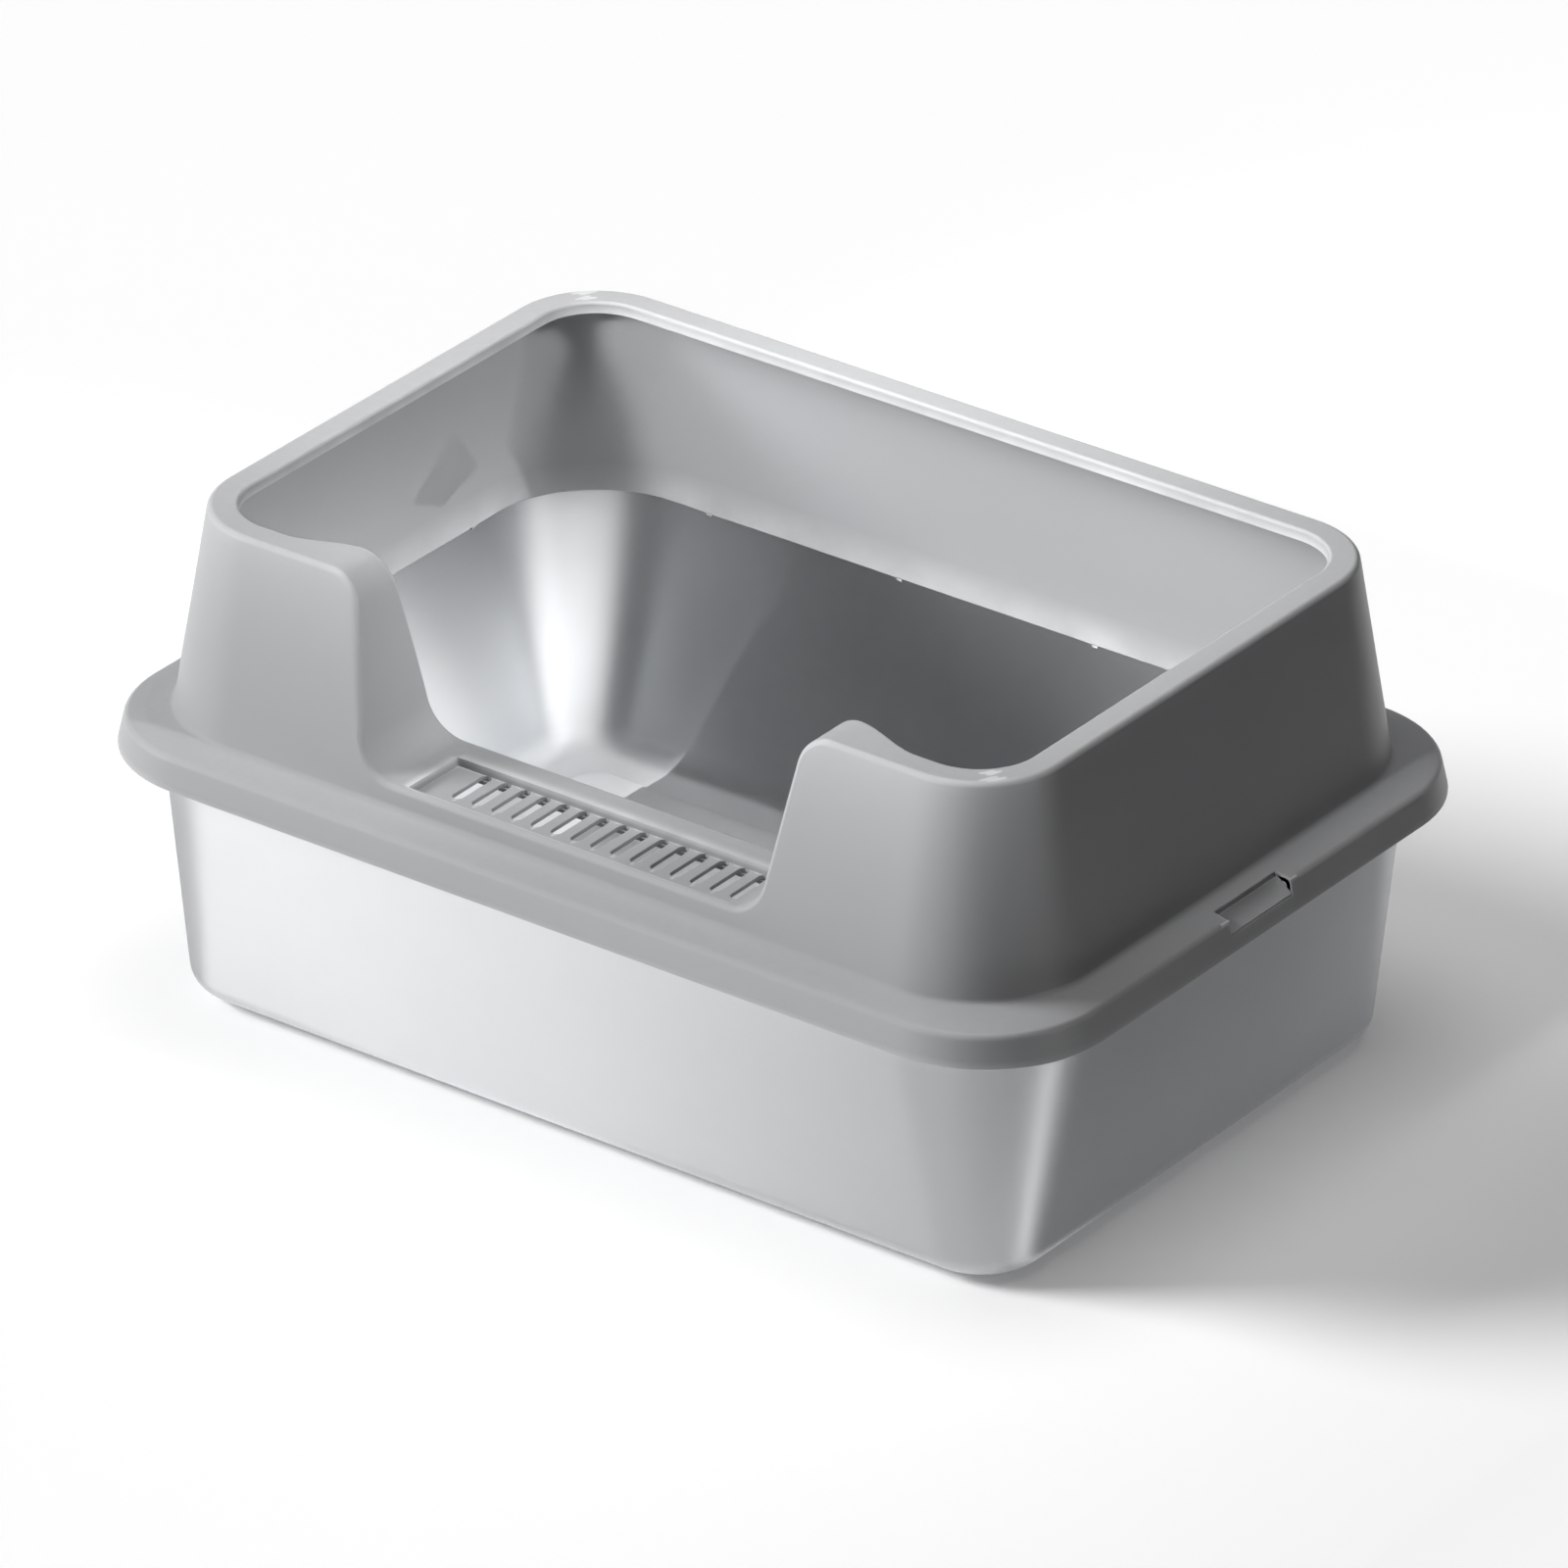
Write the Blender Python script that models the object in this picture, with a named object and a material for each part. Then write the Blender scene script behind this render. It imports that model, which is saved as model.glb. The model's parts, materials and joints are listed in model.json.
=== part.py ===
"""Open-topped litter box: a drawn steel pan, a splash guard that sits on its rim, a drop-in
grate in the guard's entry sill, and a squeeze latch on each short side.

Metres, +Z up, origin under the middle of the box at floor level, entry towards -Y."""

import math

import bmesh
import bpy
from mathutils import Vector

# ---------------------------------------------------------------- driving dimensions
PAN_LENGTH = 0.4750            # outside, at the top of the drawn wall
PAN_WIDTH = 0.3278
PAN_HEIGHT = 0.1237            # underside to the top of the rim
PAN_SHEET = 0.0010
PAN_DRAFT = 0.1480             # how far a wall leans out for each unit of height
PAN_CORNER = 0.0640            # plan radius at the top of the wall
PAN_CORNER_FOOT = 0.0300       # plan radius where the wall meets the floor
PAN_FLOOR_BEND = 0.0140        # radius between wall and floor
PAN_RIM = 0.0063               # flat rim, from the wall outwards
PAN_RIM_CORNER = 0.0540        # plan radius at the rim's edge
PAN_RIM_BEND = 0.0022
PAN_HEM = 0.0030               # how far the rim's edge turns down
PAN_CHANNEL = 0.0170           # gutter round the raised part of the floor
PAN_FLOOR_RISE = 0.0030
PAN_FLOOR_STEP = 0.0040        # run of the slope up to the raised floor
PAN_LEAST_CORNER = 0.0120

GUARD_HEIGHT = 0.1118          # skirt's lower edge to the top of the rim
GUARD_WALL = 0.0025
GUARD_LEAN = 0.1662            # how far the wall leans out for each unit it comes down
GUARD_FLANGE_DEPTH = 0.01515   # from the foot of the wall out to the flange's edge
GUARD_FLANGE_FALL = 0.00356    # drop of the flange towards its edge
SKIRT_HEIGHT = 0.0144
SKIRT_FLARE = 0.0032           # how far the skirt leans out from top to bottom
SKIRT_WALL = 0.0022
SKIRT_CORNER = 0.0600          # plan radius at the skirt's lower edge
SKIRT_REACH = 0.0063           # skirt's outside beyond the edge of the pan's rim
SKIRT_OVERLAP = 0.0055         # how far the skirt hangs below the top of the pan's rim
GUARD_RIM = 0.01315            # width of the turned-in rim
GUARD_RIM_LIP = 0.0056         # the rim's inner edge hangs down this far
GUARD_CORNER = 0.0410          # plan radius at the rim's outer edge
DRIP_LIP_GAP = 0.0018          # between the guard's inner edge and the top of the pan's rim
EDGE_ROUND = 0.0020            # rounding of the guard's outer edges

ENTRY_SILL_RISE = 0.0280       # sill above the skirt's lower edge
ENTRY_HALF_WIDTH = 0.0876      # to where the sill starts to round up
ENTRY_SILL_ROUND = 0.0170
ENTRY_TOP_HALF_WIDTH = 0.1300  # to where the rim starts to round down
ENTRY_TOP_ROUND = 0.0160
ENTRY_TOP_CROSSING = 0.0004    # the top round aims this far above the rim
ENTRY_STEPS = 8
JAMB_DEPTH_TOP = 0.0235        # how deep the opening's border is at the rim
JAMB_DEPTH_SILL = 0.0529       # and at the sill
RIM_FLARE_START = 0.1650       # distance from the middle where the rim starts to widen
RIM_FLARE_END = 0.1280

GRATE_LEFT = -0.0800           # ends of the sill's recess, along X
GRATE_RIGHT = 0.0872
GRATE_WIDTH = 0.0330
GRATE_THICKNESS = 0.0022
GRATE_SUNK = 0.0035            # top of the grate below the sill
SILL_LIP = 0.0032              # wall left in front of the recess
SILL_SHELL = 0.0024
GRATE_LEDGE = 0.0018           # width of the ledge that carries the grate
SLOT_COUNT = 15
SLOT_PITCH = 0.01036
SLOT_WIDTH = 0.0052
SLOT_LENGTH = 0.0240
SLOT_END_MARGIN = 0.0052       # from the grate's right end to the middle of the last slot
SLOT_SETBACK = 0.0085          # from the grate's front edge to the slots

LATCH_LENGTH = 0.0440
LATCH_WINDOW_DEPTH = 0.0077    # window cut into the flange, from its edge
LATCH_WINDOW_DROP = 0.0066     # window cut into the skirt, from its top
LATCH_PAD = 0.0016
LATCH_TIP = 0.0006             # thickness of the pad's outer edge
LATCH_ARM = 0.0014
LATCH_HOLLOW = 0.0012          # depth of the thumb hollow in the pad
LATCH_SWING = 8.0              # degrees from rest to fully pressed
PIN_RADIUS = 0.0008
SHELF_THICKNESS = 0.0012
TOE_DROP = 0.0008              # how far a latch's toe reaches below the hem
PIN_SEAT = 0.0036              # how far each end of a pin goes into its boss
BARREL_WALL = 0.0008
BOSS_LENGTH = 0.0050
SPRING_RADIUS = 0.0010
SPRING_WIRE = 0.00035
SPRING_TURNS = 5
SPRING_SETBACK = 0.0005        # from the window's back edge in to the spring's axis
SPRING_ROOM = 0.0020           # free space round the spring in the latch
SHELF_MARGIN = 0.0005          # shelf beyond the spring

RIB_WIDTH = 0.0030
RIBS_LONG_SIDE = (-0.155, -0.052, 0.052, 0.155)
RIBS_SHORT_SIDE = (-0.085, 0.085)

FOOT_RADIUS = 0.0110
FOOT_PROUD = 0.0020            # how far the feet stand below the pan
FOOT_INSET = 0.0380            # from the edge of the raised floor to a foot's middle
FOOT_EDGE = 0.0008             # chamfer round the sole

GAP = 0.0003                   # between pieces that touch
HEM_CLEAR = 0.0005             # between a latch arm and the edge of the pan's rim
CORNER_STEPS = 10
BEND_STEPS = 6
RIM_BEND_STEPS = 3
RIM_FLARE_STEPS = 10
HOLLOW_STEPS = 8
SLOT_END_STEPS = 6
SPRING_TURN_STEPS = 14
FOOT_STEPS = 24
ROD_STEPS = 20
OVERRUN = 0.0040               # how far a cutter goes past what it cuts
ROUND_MIDDLE = 1.0 - math.sqrt(0.5)    # a quarter round's middle, in from each of its faces

# ---------------------------------------------------------------- levels and places
# A level is a rounded rectangle given by half its width (along Y); half its length is
# always SIDE_DIFFERENCE more, because each wall leans the same way all round.
SIDE_DIFFERENCE = (PAN_LENGTH - PAN_WIDTH) / 2.0

PAN_FLOOR_Z = FOOT_PROUD
PAN_RIM_Z = PAN_FLOOR_Z + PAN_HEIGHT
PAN_WALL_TOP = PAN_WIDTH / 2.0
PAN_RIM_EDGE = PAN_WALL_TOP + PAN_RIM

SKIRT_Z = PAN_RIM_Z - SKIRT_OVERLAP
FLANGE_Z = SKIRT_Z + SKIRT_HEIGHT
WALL_FOOT_Z = FLANGE_Z + GUARD_FLANGE_FALL
GUARD_TOP_Z = SKIRT_Z + GUARD_HEIGHT
SILL_Z = SKIRT_Z + ENTRY_SILL_RISE
SKIRT_FOOT = PAN_RIM_EDGE + SKIRT_REACH
FLANGE_EDGE = SKIRT_FOOT - SKIRT_FLARE
WALL_FOOT = FLANGE_EDGE - GUARD_FLANGE_DEPTH
GUARD_TOP = WALL_FOOT - GUARD_LEAN * (GUARD_TOP_Z - WALL_FOOT_Z)
WALL_ACROSS = GUARD_WALL * math.hypot(1.0, GUARD_LEAN)
DRIP_LIP_Z = PAN_RIM_Z + DRIP_LIP_GAP
WALL_CORNER = GUARD_CORNER + WALL_FOOT - GUARD_TOP
FLANGE_CORNER = SKIRT_CORNER - SKIRT_FLARE


def wall_outside(z):
    """Half-width of the guard's outer wall at a height."""
    return GUARD_TOP + GUARD_LEAN * (GUARD_TOP_Z - z)


def skirt_inside(z):
    """Half-width of the skirt's inner face at a height."""
    return SKIRT_FOOT - SKIRT_FLARE * (z - SKIRT_Z) / SKIRT_HEIGHT - SKIRT_WALL


def flange_underside(half_width):
    """Height of the flange's lower face at a distance out from the middle."""
    return WALL_FOOT_Z - GUARD_WALL - GUARD_FLANGE_FALL * (half_width - WALL_FOOT) / GUARD_FLANGE_DEPTH


# ---------------------------------------------------------------- shape helpers
def ring(half_width, z, corner):
    """Rounded rectangle at a height, anticlockwise from the middle of the +X side."""
    half_length = half_width + SIDE_DIFFERENCE
    points = []
    for quarter in range(4):
        sign_x = 1 if quarter in (0, 3) else -1
        sign_y = 1 if quarter in (0, 1) else -1
        for step in range(CORNER_STEPS + 1):
            angle = math.radians(90.0 * (quarter + step / CORNER_STEPS))
            x = sign_x * (half_length - corner) + corner * math.cos(angle)
            y = sign_y * (half_width - corner) + corner * math.sin(angle)
            points.append(Vector((x, y, z)))
    return points


def arc(centre_u, centre_v, radius, start, end, steps):
    """Points on an arc in a plane, angles in degrees."""
    points = []
    for step in range(steps + 1):
        angle = math.radians(start + (end - start) * step / steps)
        points.append((centre_u + radius * math.cos(angle), centre_v + radius * math.sin(angle)))
    return points


def new_object(name, bm, smooth_angle=30.0):
    bmesh.ops.recalc_face_normals(bm, faces=bm.faces)
    mesh = bpy.data.meshes.new(name)
    bm.to_mesh(mesh)
    bm.free()
    mesh.shade_smooth()
    mesh.set_sharp_from_angle(angle=math.radians(smooth_angle))
    obj = bpy.data.objects.new(name, mesh)
    bpy.context.scene.collection.objects.link(obj)
    return obj


def loft(name, rings):
    """Closed solid through rings that all have the same number of points."""
    bm = bmesh.new()
    loops = [[bm.verts.new(point) for point in points] for points in rings]
    for lower, upper in zip(loops, loops[1:]):
        for i in range(len(lower)):
            bm.faces.new((lower[i - 1], lower[i], upper[i], upper[i - 1]))
    bm.faces.new(loops[0])
    bm.faces.new(loops[-1])
    return new_object(name, bm)


def prism(name, outline, place, low, high, far_end=None):
    """Outline of (u, v) points pushed from low to high. place(u, v, depth) gives the point;
    far_end(u, v) gives the depth of the far end where it isn't flat."""
    bm = bmesh.new()
    near = [bm.verts.new(place(u, v, low)) for u, v in outline]
    face = bm.faces.new(near)
    pushed = bmesh.ops.extrude_face_region(bm, geom=[face])
    far = [item for item in pushed["geom"] if isinstance(item, bmesh.types.BMVert)]
    for vert in far:
        index = min(range(len(near)), key=lambda i: (near[i].co - vert.co).length_squared)
        u, v = outline[index]
        depth = far_end(u, v) if far_end else high
        vert.co = place(u, v, depth)
    return new_object(name, bm)


def along_y(u, v, depth):
    """Outline in XZ, pushed along Y."""
    return Vector((u, depth, v))


def along_z(u, v, depth):
    """Outline in XY, pushed along Z."""
    return Vector((u, v, depth))


def box(name, low, high):
    outline = [(low[0], low[1]), (high[0], low[1]), (high[0], high[1]), (low[0], high[1])]
    return prism(name, outline, along_z, low[2], high[2])


def circle(centre_u, centre_v, radius, steps):
    return arc(centre_u, centre_v, radius, 0.0, 360.0 - 360.0 / steps, steps - 1)


def cylinder_along_y(name, x, z, radius, low, high):
    outline = circle(x, z, radius, ROD_STEPS)
    return prism(name, outline, along_y, low, high)


def combine(obj, tool, operation):
    """Boolean of a hidden tool on an object."""
    modifier = obj.modifiers.new(tool.name, "BOOLEAN")
    modifier.operation = operation
    modifier.solver = "EXACT"
    modifier.object = tool
    tool.hide_render = True
    tool.display_type = "WIRE"


def material(name, colour, roughness, metallic=0.0):
    made = bpy.data.materials.new(name)
    made.use_nodes = True
    shader = made.node_tree.nodes["Principled BSDF"]
    shader.inputs["Base Color"].default_value = (*colour, 1.0)
    shader.inputs["Roughness"].default_value = roughness
    shader.inputs["Metallic"].default_value = metallic
    return made


# ---------------------------------------------------------------- steel pan
def pan_wall(z):
    """Half-width of the pan's outer wall at a height, bends left out."""
    return PAN_WALL_TOP - PAN_DRAFT * (SKIRT_Z - z)


def pan_corner(u, z):
    """Plan radius of the pan at a point of its profile: the wall's own radius at that
    height, more or less by the distance from the wall."""
    share = min((z - PAN_FLOOR_Z) / (SKIRT_Z - PAN_FLOOR_Z), 1.0)
    wall_radius = PAN_CORNER_FOOT + (PAN_CORNER - PAN_CORNER_FOOT) * share
    beyond = u - pan_wall(z)
    if beyond > 0.0:
        beyond *= (PAN_RIM_CORNER - PAN_CORNER) / PAN_RIM
    return max(wall_radius + beyond, PAN_LEAST_CORNER)


def pan_underside():
    """Lower and outer face of the sheet from the raised floor to the hem, as (u, z)."""
    lean = math.atan(PAN_DRAFT)
    lean_degrees = math.degrees(lean)
    floor_z = PAN_FLOOR_Z + PAN_FLOOR_BEND
    floor_u = (pan_wall(floor_z - PAN_FLOOR_BEND * math.sin(lean))
               - PAN_FLOOR_BEND * math.cos(lean))
    rim_low = PAN_RIM_Z - PAN_SHEET
    rim_z = rim_low - PAN_RIM_BEND
    rim_u = pan_wall(rim_z + PAN_RIM_BEND * math.sin(lean)) + PAN_RIM_BEND * math.cos(lean)
    hem_u = PAN_RIM_EDGE - PAN_SHEET
    raised_z = PAN_FLOOR_Z + PAN_FLOOR_RISE
    # the first stretch is level, so that the sheet keeps its thickness under the middle
    points = [(floor_u - PAN_CHANNEL - PAN_FLOOR_STEP, raised_z)]
    points.append((floor_u - PAN_CHANNEL, raised_z))
    points.append((floor_u - PAN_CHANNEL + PAN_FLOOR_STEP, PAN_FLOOR_Z))
    points += arc(floor_u, floor_z, PAN_FLOOR_BEND, -90.0, -lean_degrees, BEND_STEPS)
    points += arc(rim_u, rim_z, PAN_RIM_BEND, 180.0 - lean_degrees, 90.0, RIM_BEND_STEPS)
    points.append((hem_u, rim_low))
    points.append((hem_u, PAN_RIM_Z - PAN_HEM))
    return points


def mitred(points, distance):
    """The open line of points moved to its left by a distance."""
    moved = []
    for i, (u, v) in enumerate(points):
        before = Vector(points[i]) - Vector(points[max(i - 1, 0)])
        after = Vector(points[min(i + 1, len(points) - 1)]) - Vector(points[i])
        first = (before if i > 0 else after).normalized()
        second = (after if i < len(points) - 1 else before).normalized()
        left = Vector((-first.y - second.y, first.x + second.x))
        left *= distance / (1.0 + first.dot(second))
        moved.append((u + left.x, v + left.y))
    return moved


def raised_floor_edge():
    """Half-width of the raised floor's underside."""
    return pan_underside()[1][0]


def steel_pan():
    lower = pan_underside()
    upper = mitred(lower, PAN_SHEET)
    profile = lower + upper[::-1]
    pan = loft("steel_pan", [ring(u, z, pan_corner(u, z)) for u, z in profile])
    pan.data.materials.append(material("drawn_steel", (0.62, 0.63, 0.65), 0.32, 1.0))
    return pan


def feet():
    """Four round rubber feet, stuck in the hollow under the raised floor."""
    rubber = material("foot_rubber", (0.05, 0.05, 0.05), 0.85)
    top = PAN_FLOOR_Z + PAN_FLOOR_RISE - GAP
    y = raised_floor_edge() - FOOT_INSET
    x = y + SIDE_DIFFERENCE
    for name, side_x, side_y in (("foot_front_left", -1, -1), ("foot_front_right", 1, -1),
                                 ("foot_back_left", -1, 1), ("foot_back_right", 1, 1)):
        discs = ((FOOT_RADIUS - FOOT_EDGE, 0.0), (FOOT_RADIUS, FOOT_EDGE), (FOOT_RADIUS, top))
        rings = []
        for radius, z in discs:
            outline = circle(side_x * x, side_y * y, radius, FOOT_STEPS)
            rings.append([Vector((u, v, z)) for u, v in outline])
        foot = loft(name, rings)
        foot.data.materials.append(rubber)


# ---------------------------------------------------------------- splash guard
def guard_outer():
    """Solid bounded by the guard's outer faces, from the skirt's edge to the rim."""
    rounding = EDGE_ROUND
    middle = rounding * ROUND_MIDDLE
    top_bend = rounding * (1.0 - GUARD_LEAN)
    levels = [(SKIRT_FOOT, SKIRT_Z, SKIRT_CORNER)]
    skirt_top = FLANGE_EDGE + SKIRT_FLARE * rounding / SKIRT_HEIGHT
    levels.append((skirt_top, FLANGE_Z - rounding, FLANGE_CORNER))
    levels.append((FLANGE_EDGE - middle, FLANGE_Z - middle, FLANGE_CORNER))
    fall = GUARD_FLANGE_FALL * rounding / GUARD_FLANGE_DEPTH
    levels.append((FLANGE_EDGE - rounding, FLANGE_Z + fall, FLANGE_CORNER))
    levels.append((WALL_FOOT + rounding, WALL_FOOT_Z - fall, WALL_CORNER + rounding))
    foot_z = WALL_FOOT_Z + rounding
    levels.append((wall_outside(foot_z), foot_z, WALL_CORNER))
    top_z = GUARD_TOP_Z - rounding
    levels.append((wall_outside(top_z), top_z, GUARD_CORNER + GUARD_LEAN * rounding))
    levels.append((GUARD_TOP - top_bend * ROUND_MIDDLE, GUARD_TOP_Z - middle, GUARD_CORNER))
    levels.append((GUARD_TOP - top_bend, GUARD_TOP_Z, GUARD_CORNER - top_bend))
    return loft("splash_guard", [ring(*level) for level in levels])


def guard_cavity():
    """Everything open inside the guard, from below the skirt to above the rim."""
    low = SKIRT_Z - OVERRUN
    lip_back = WALL_FOOT - GUARD_LEAN * GUARD_WALL
    lip_inside = lip_back - WALL_ACROSS
    flange_in = flange_underside(skirt_inside(FLANGE_Z))
    rim_low = GUARD_TOP_Z - GUARD_WALL
    rim_inside = GUARD_TOP - GUARD_RIM
    lip_radius = WALL_CORNER - (WALL_FOOT - lip_inside)
    rim_radius = GUARD_CORNER - GUARD_RIM
    wall_top = wall_outside(rim_low) - WALL_ACROSS
    levels = [
        (skirt_inside(low), low, SKIRT_CORNER - SKIRT_WALL),
        (skirt_inside(flange_in), flange_in, FLANGE_CORNER - SKIRT_WALL),
        (lip_back, flange_underside(lip_back), lip_radius + lip_back - lip_inside),
        (lip_back, DRIP_LIP_Z, lip_radius + lip_back - lip_inside),
        (lip_inside, DRIP_LIP_Z, lip_radius),
        (wall_outside(WALL_FOOT_Z) - WALL_ACROSS, WALL_FOOT_Z, WALL_CORNER - WALL_ACROSS),
        (wall_top, rim_low, wall_top - rim_inside + rim_radius),
        (rim_inside + GUARD_WALL, rim_low, rim_radius + GUARD_WALL),
        (rim_inside + GUARD_WALL, GUARD_TOP_Z - GUARD_RIM_LIP, rim_radius + GUARD_WALL),
        (rim_inside, GUARD_TOP_Z - GUARD_RIM_LIP, rim_radius),
        (rim_inside, GUARD_TOP_Z + OVERRUN, rim_radius),
    ]
    return loft("guard_cavity", [ring(*level) for level in levels])


def entry_outline(inset):
    """Outline of the entry in XZ, from the top left round the sill to the top right. inset
    moves it into the plastic all the way round."""
    top_x = ENTRY_TOP_HALF_WIDTH
    top_z = GUARD_TOP_Z + ENTRY_TOP_CROSSING - ENTRY_TOP_ROUND
    sill_x = ENTRY_HALF_WIDTH
    sill_z = SILL_Z + ENTRY_SILL_ROUND
    across = Vector((top_x - sill_x, top_z - sill_z))
    # the side is the inner tangent of the two rounds
    tilt = math.atan2(across.y, across.x)
    swing = math.acos((ENTRY_TOP_ROUND + ENTRY_SILL_ROUND) / across.length)
    facing = math.degrees(tilt - swing)
    right = [(top_x, GUARD_TOP_Z + OVERRUN)]
    right += arc(top_x, top_z, ENTRY_TOP_ROUND - inset, 90.0, 180.0 + facing, ENTRY_STEPS)
    right += arc(sill_x, sill_z, ENTRY_SILL_ROUND + inset, facing, -90.0, ENTRY_STEPS)
    left = [(-x, z) for x, z in right]
    return left + right[::-1]


def border_inside(_, z):
    """Y of the inner edge of the entry's border at a height."""
    share = (GUARD_TOP_Z - z) / (GUARD_TOP_Z - SILL_Z)
    top_y = -GUARD_TOP + JAMB_DEPTH_TOP
    sill_y = -wall_outside(SILL_Z) + JAMB_DEPTH_SILL
    return top_y + (sill_y - top_y) * share


def rim_flare(x):
    """Y of the rim's inner edge along the front, where it widens towards the entry."""
    share = (RIM_FLARE_START - abs(x)) / (RIM_FLARE_START - RIM_FLARE_END)
    share = min(max(share, 0.0), 1.0)
    smooth = share * share * (3.0 - 2.0 * share)
    narrow = -GUARD_TOP + GUARD_RIM
    return narrow + (border_inside(x, GUARD_TOP_Z) - narrow) * smooth


def guard_border():
    """Material that stays inside the cavity: the entry's border and the widened rim."""
    front = -SKIRT_FOOT - OVERRUN
    border = prism("entry_border", entry_outline(GUARD_WALL), along_y, front, 0.0, border_inside)
    outer_x = RIM_FLARE_START + OVERRUN
    inner_x = RIM_FLARE_END - ENTRY_TOP_ROUND
    step = (inner_x - outer_x) / RIM_FLARE_STEPS
    xs = [outer_x + step * i for i in range(RIM_FLARE_STEPS + 1)]
    rim_low = GUARD_TOP_Z - GUARD_WALL
    lip_low = GUARD_TOP_Z - GUARD_RIM_LIP
    high = GUARD_TOP_Z + 2.0 * OVERRUN      # above the cavity, which ends one overrun up
    extras = []
    for side, name in ((-1, "left"), (1, "right")):
        edge = [(side * x, rim_flare(x)) for x in xs]
        plate = edge + [(side * inner_x, front), (side * outer_x, front)]
        extras.append(prism("rim_plate_" + name, plate, along_z, rim_low, high))
        lip = edge + [(x, y - GUARD_WALL) for x, y in reversed(edge)]
        extras.append(prism("rim_lip_" + name, lip, along_z, lip_low, high))
    return [border] + extras


def grate_front():
    """Y of the recess's front wall."""
    return -wall_outside(SILL_Z) + SILL_LIP


def sill_tray():
    """Underside of the sill: a thick tray round the recess for the grate."""
    front = -SKIRT_FOOT - OVERRUN
    back = grate_front() + GRATE_WIDTH + SILL_SHELL
    low = SILL_Z - GRATE_SUNK - GRATE_THICKNESS - SILL_SHELL
    return box("sill_tray", (GRATE_LEFT - SILL_SHELL, front, low),
               (GRATE_RIGHT + SILL_SHELL, back, SILL_Z + OVERRUN))


def sill_cutters():
    """The recess and the opening that the grate covers."""
    front = grate_front()
    back = front + GRATE_WIDTH
    seat = SILL_Z - GRATE_SUNK - GRATE_THICKNESS
    recess = box("grate_recess", (GRATE_LEFT, front, seat), (GRATE_RIGHT, back, SILL_Z + OVERRUN))
    ledge = GRATE_LEDGE
    hole = box("grate_hole", (GRATE_LEFT + ledge, front + ledge, seat - SILL_SHELL - OVERRUN),
               (GRATE_RIGHT - ledge, back - ledge, seat + OVERRUN))
    return [recess, hole]


def rim_ribs():
    """Ribs under the flange that carry the guard on the pan's rim."""
    low = PAN_RIM_Z + GAP
    high = FLANGE_Z
    inner = WALL_FOOT - WALL_ACROSS
    outer = PAN_RIM_EDGE - PAN_RIM_BEND
    half = RIB_WIDTH / 2.0
    ribs = []
    for side in (-1, 1):
        for x in RIBS_LONG_SIDE:
            ys = sorted((side * inner, side * outer))
            ribs.append(box("rib", (x - half, ys[0], low), (x + half, ys[1], high)))
        for y in RIBS_SHORT_SIDE:
            xs = sorted((side * (inner + SIDE_DIFFERENCE), side * (outer + SIDE_DIFFERENCE)))
            ribs.append(box("rib", (xs[0], y - half, low), (xs[1], y + half, high)))
    return ribs


# ---------------------------------------------------------------- latches
# On the right side a latch's section is drawn in XZ and pushed along Y; the left one is its
# mirror image. The pin lies along Y.
PIN_X = SIDE_DIFFERENCE + PAN_RIM_EDGE - PIN_RADIUS - BARREL_WALL
PIN_Z = PAN_RIM_Z + 2.0 * GAP + PIN_RADIUS + GAP + BARREL_WALL
BARREL_RADIUS = PIN_RADIUS + GAP + BARREL_WALL
WINDOW_BACK = SIDE_DIFFERENCE + FLANGE_EDGE - LATCH_WINDOW_DEPTH
WINDOW_LOW = FLANGE_Z - LATCH_WINDOW_DROP
WINDOW_HALF = LATCH_LENGTH / 2.0
SHELF_Z = PAN_RIM_Z + GAP
PAD_BACK_Z = flange_underside(WINDOW_BACK - SIDE_DIFFERENCE) + GUARD_WALL - LATCH_PAD
# the pad's back edge swings towards the window by its height above the pin times the sine
LATCH_TRAVEL_GAP = (PAD_BACK_Z - PIN_Z) * math.sin(math.radians(LATCH_SWING)) + GAP
SPRING_X = WINDOW_BACK - SPRING_SETBACK
TAB_Z = flange_underside(WINDOW_BACK - SIDE_DIFFERENCE) - GAP    # top of a latch's stop tab


def mirrored(outline, side):
    return [(side * u, v) for u, v in outline]


def latch_window(side):
    xs = sorted((side * WINDOW_BACK, side * (SIDE_DIFFERENCE + SKIRT_FOOT + OVERRUN)))
    return box("latch_window", (xs[0], -WINDOW_HALF, WINDOW_LOW), (xs[1], WINDOW_HALF, WALL_FOOT_Z))


def latch_bosses(side):
    """Blocks at the window's ends that hold the pin, and the shelf under the spring."""
    inner = SIDE_DIFFERENCE + WALL_FOOT - WALL_ACROSS
    outer = SIDE_DIFFERENCE + SKIRT_FOOT
    blocks = []
    xs = sorted((side * inner, side * outer))
    for end in (-1, 1):
        ys = sorted((end * WINDOW_HALF, end * (WINDOW_HALF + BOSS_LENGTH)))
        blocks.append(box("latch_boss", (xs[0], ys[0], SHELF_Z), (xs[1], ys[1], FLANGE_Z)))
    xs = sorted((side * inner, side * (SPRING_X + SPRING_RADIUS + SHELF_MARGIN)))
    half = WINDOW_HALF + BOSS_LENGTH / 2.0
    blocks.append(box("spring_shelf", (xs[0], -half, SHELF_Z), (xs[1], half, SHELF_Z + SHELF_THICKNESS)))
    return blocks


def pin_bore(side):
    reach = WINDOW_HALF + PIN_SEAT + GAP
    return cylinder_along_y("pin_bore", side * PIN_X, PIN_Z, PIN_RADIUS + GAP, -reach, reach)


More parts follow.
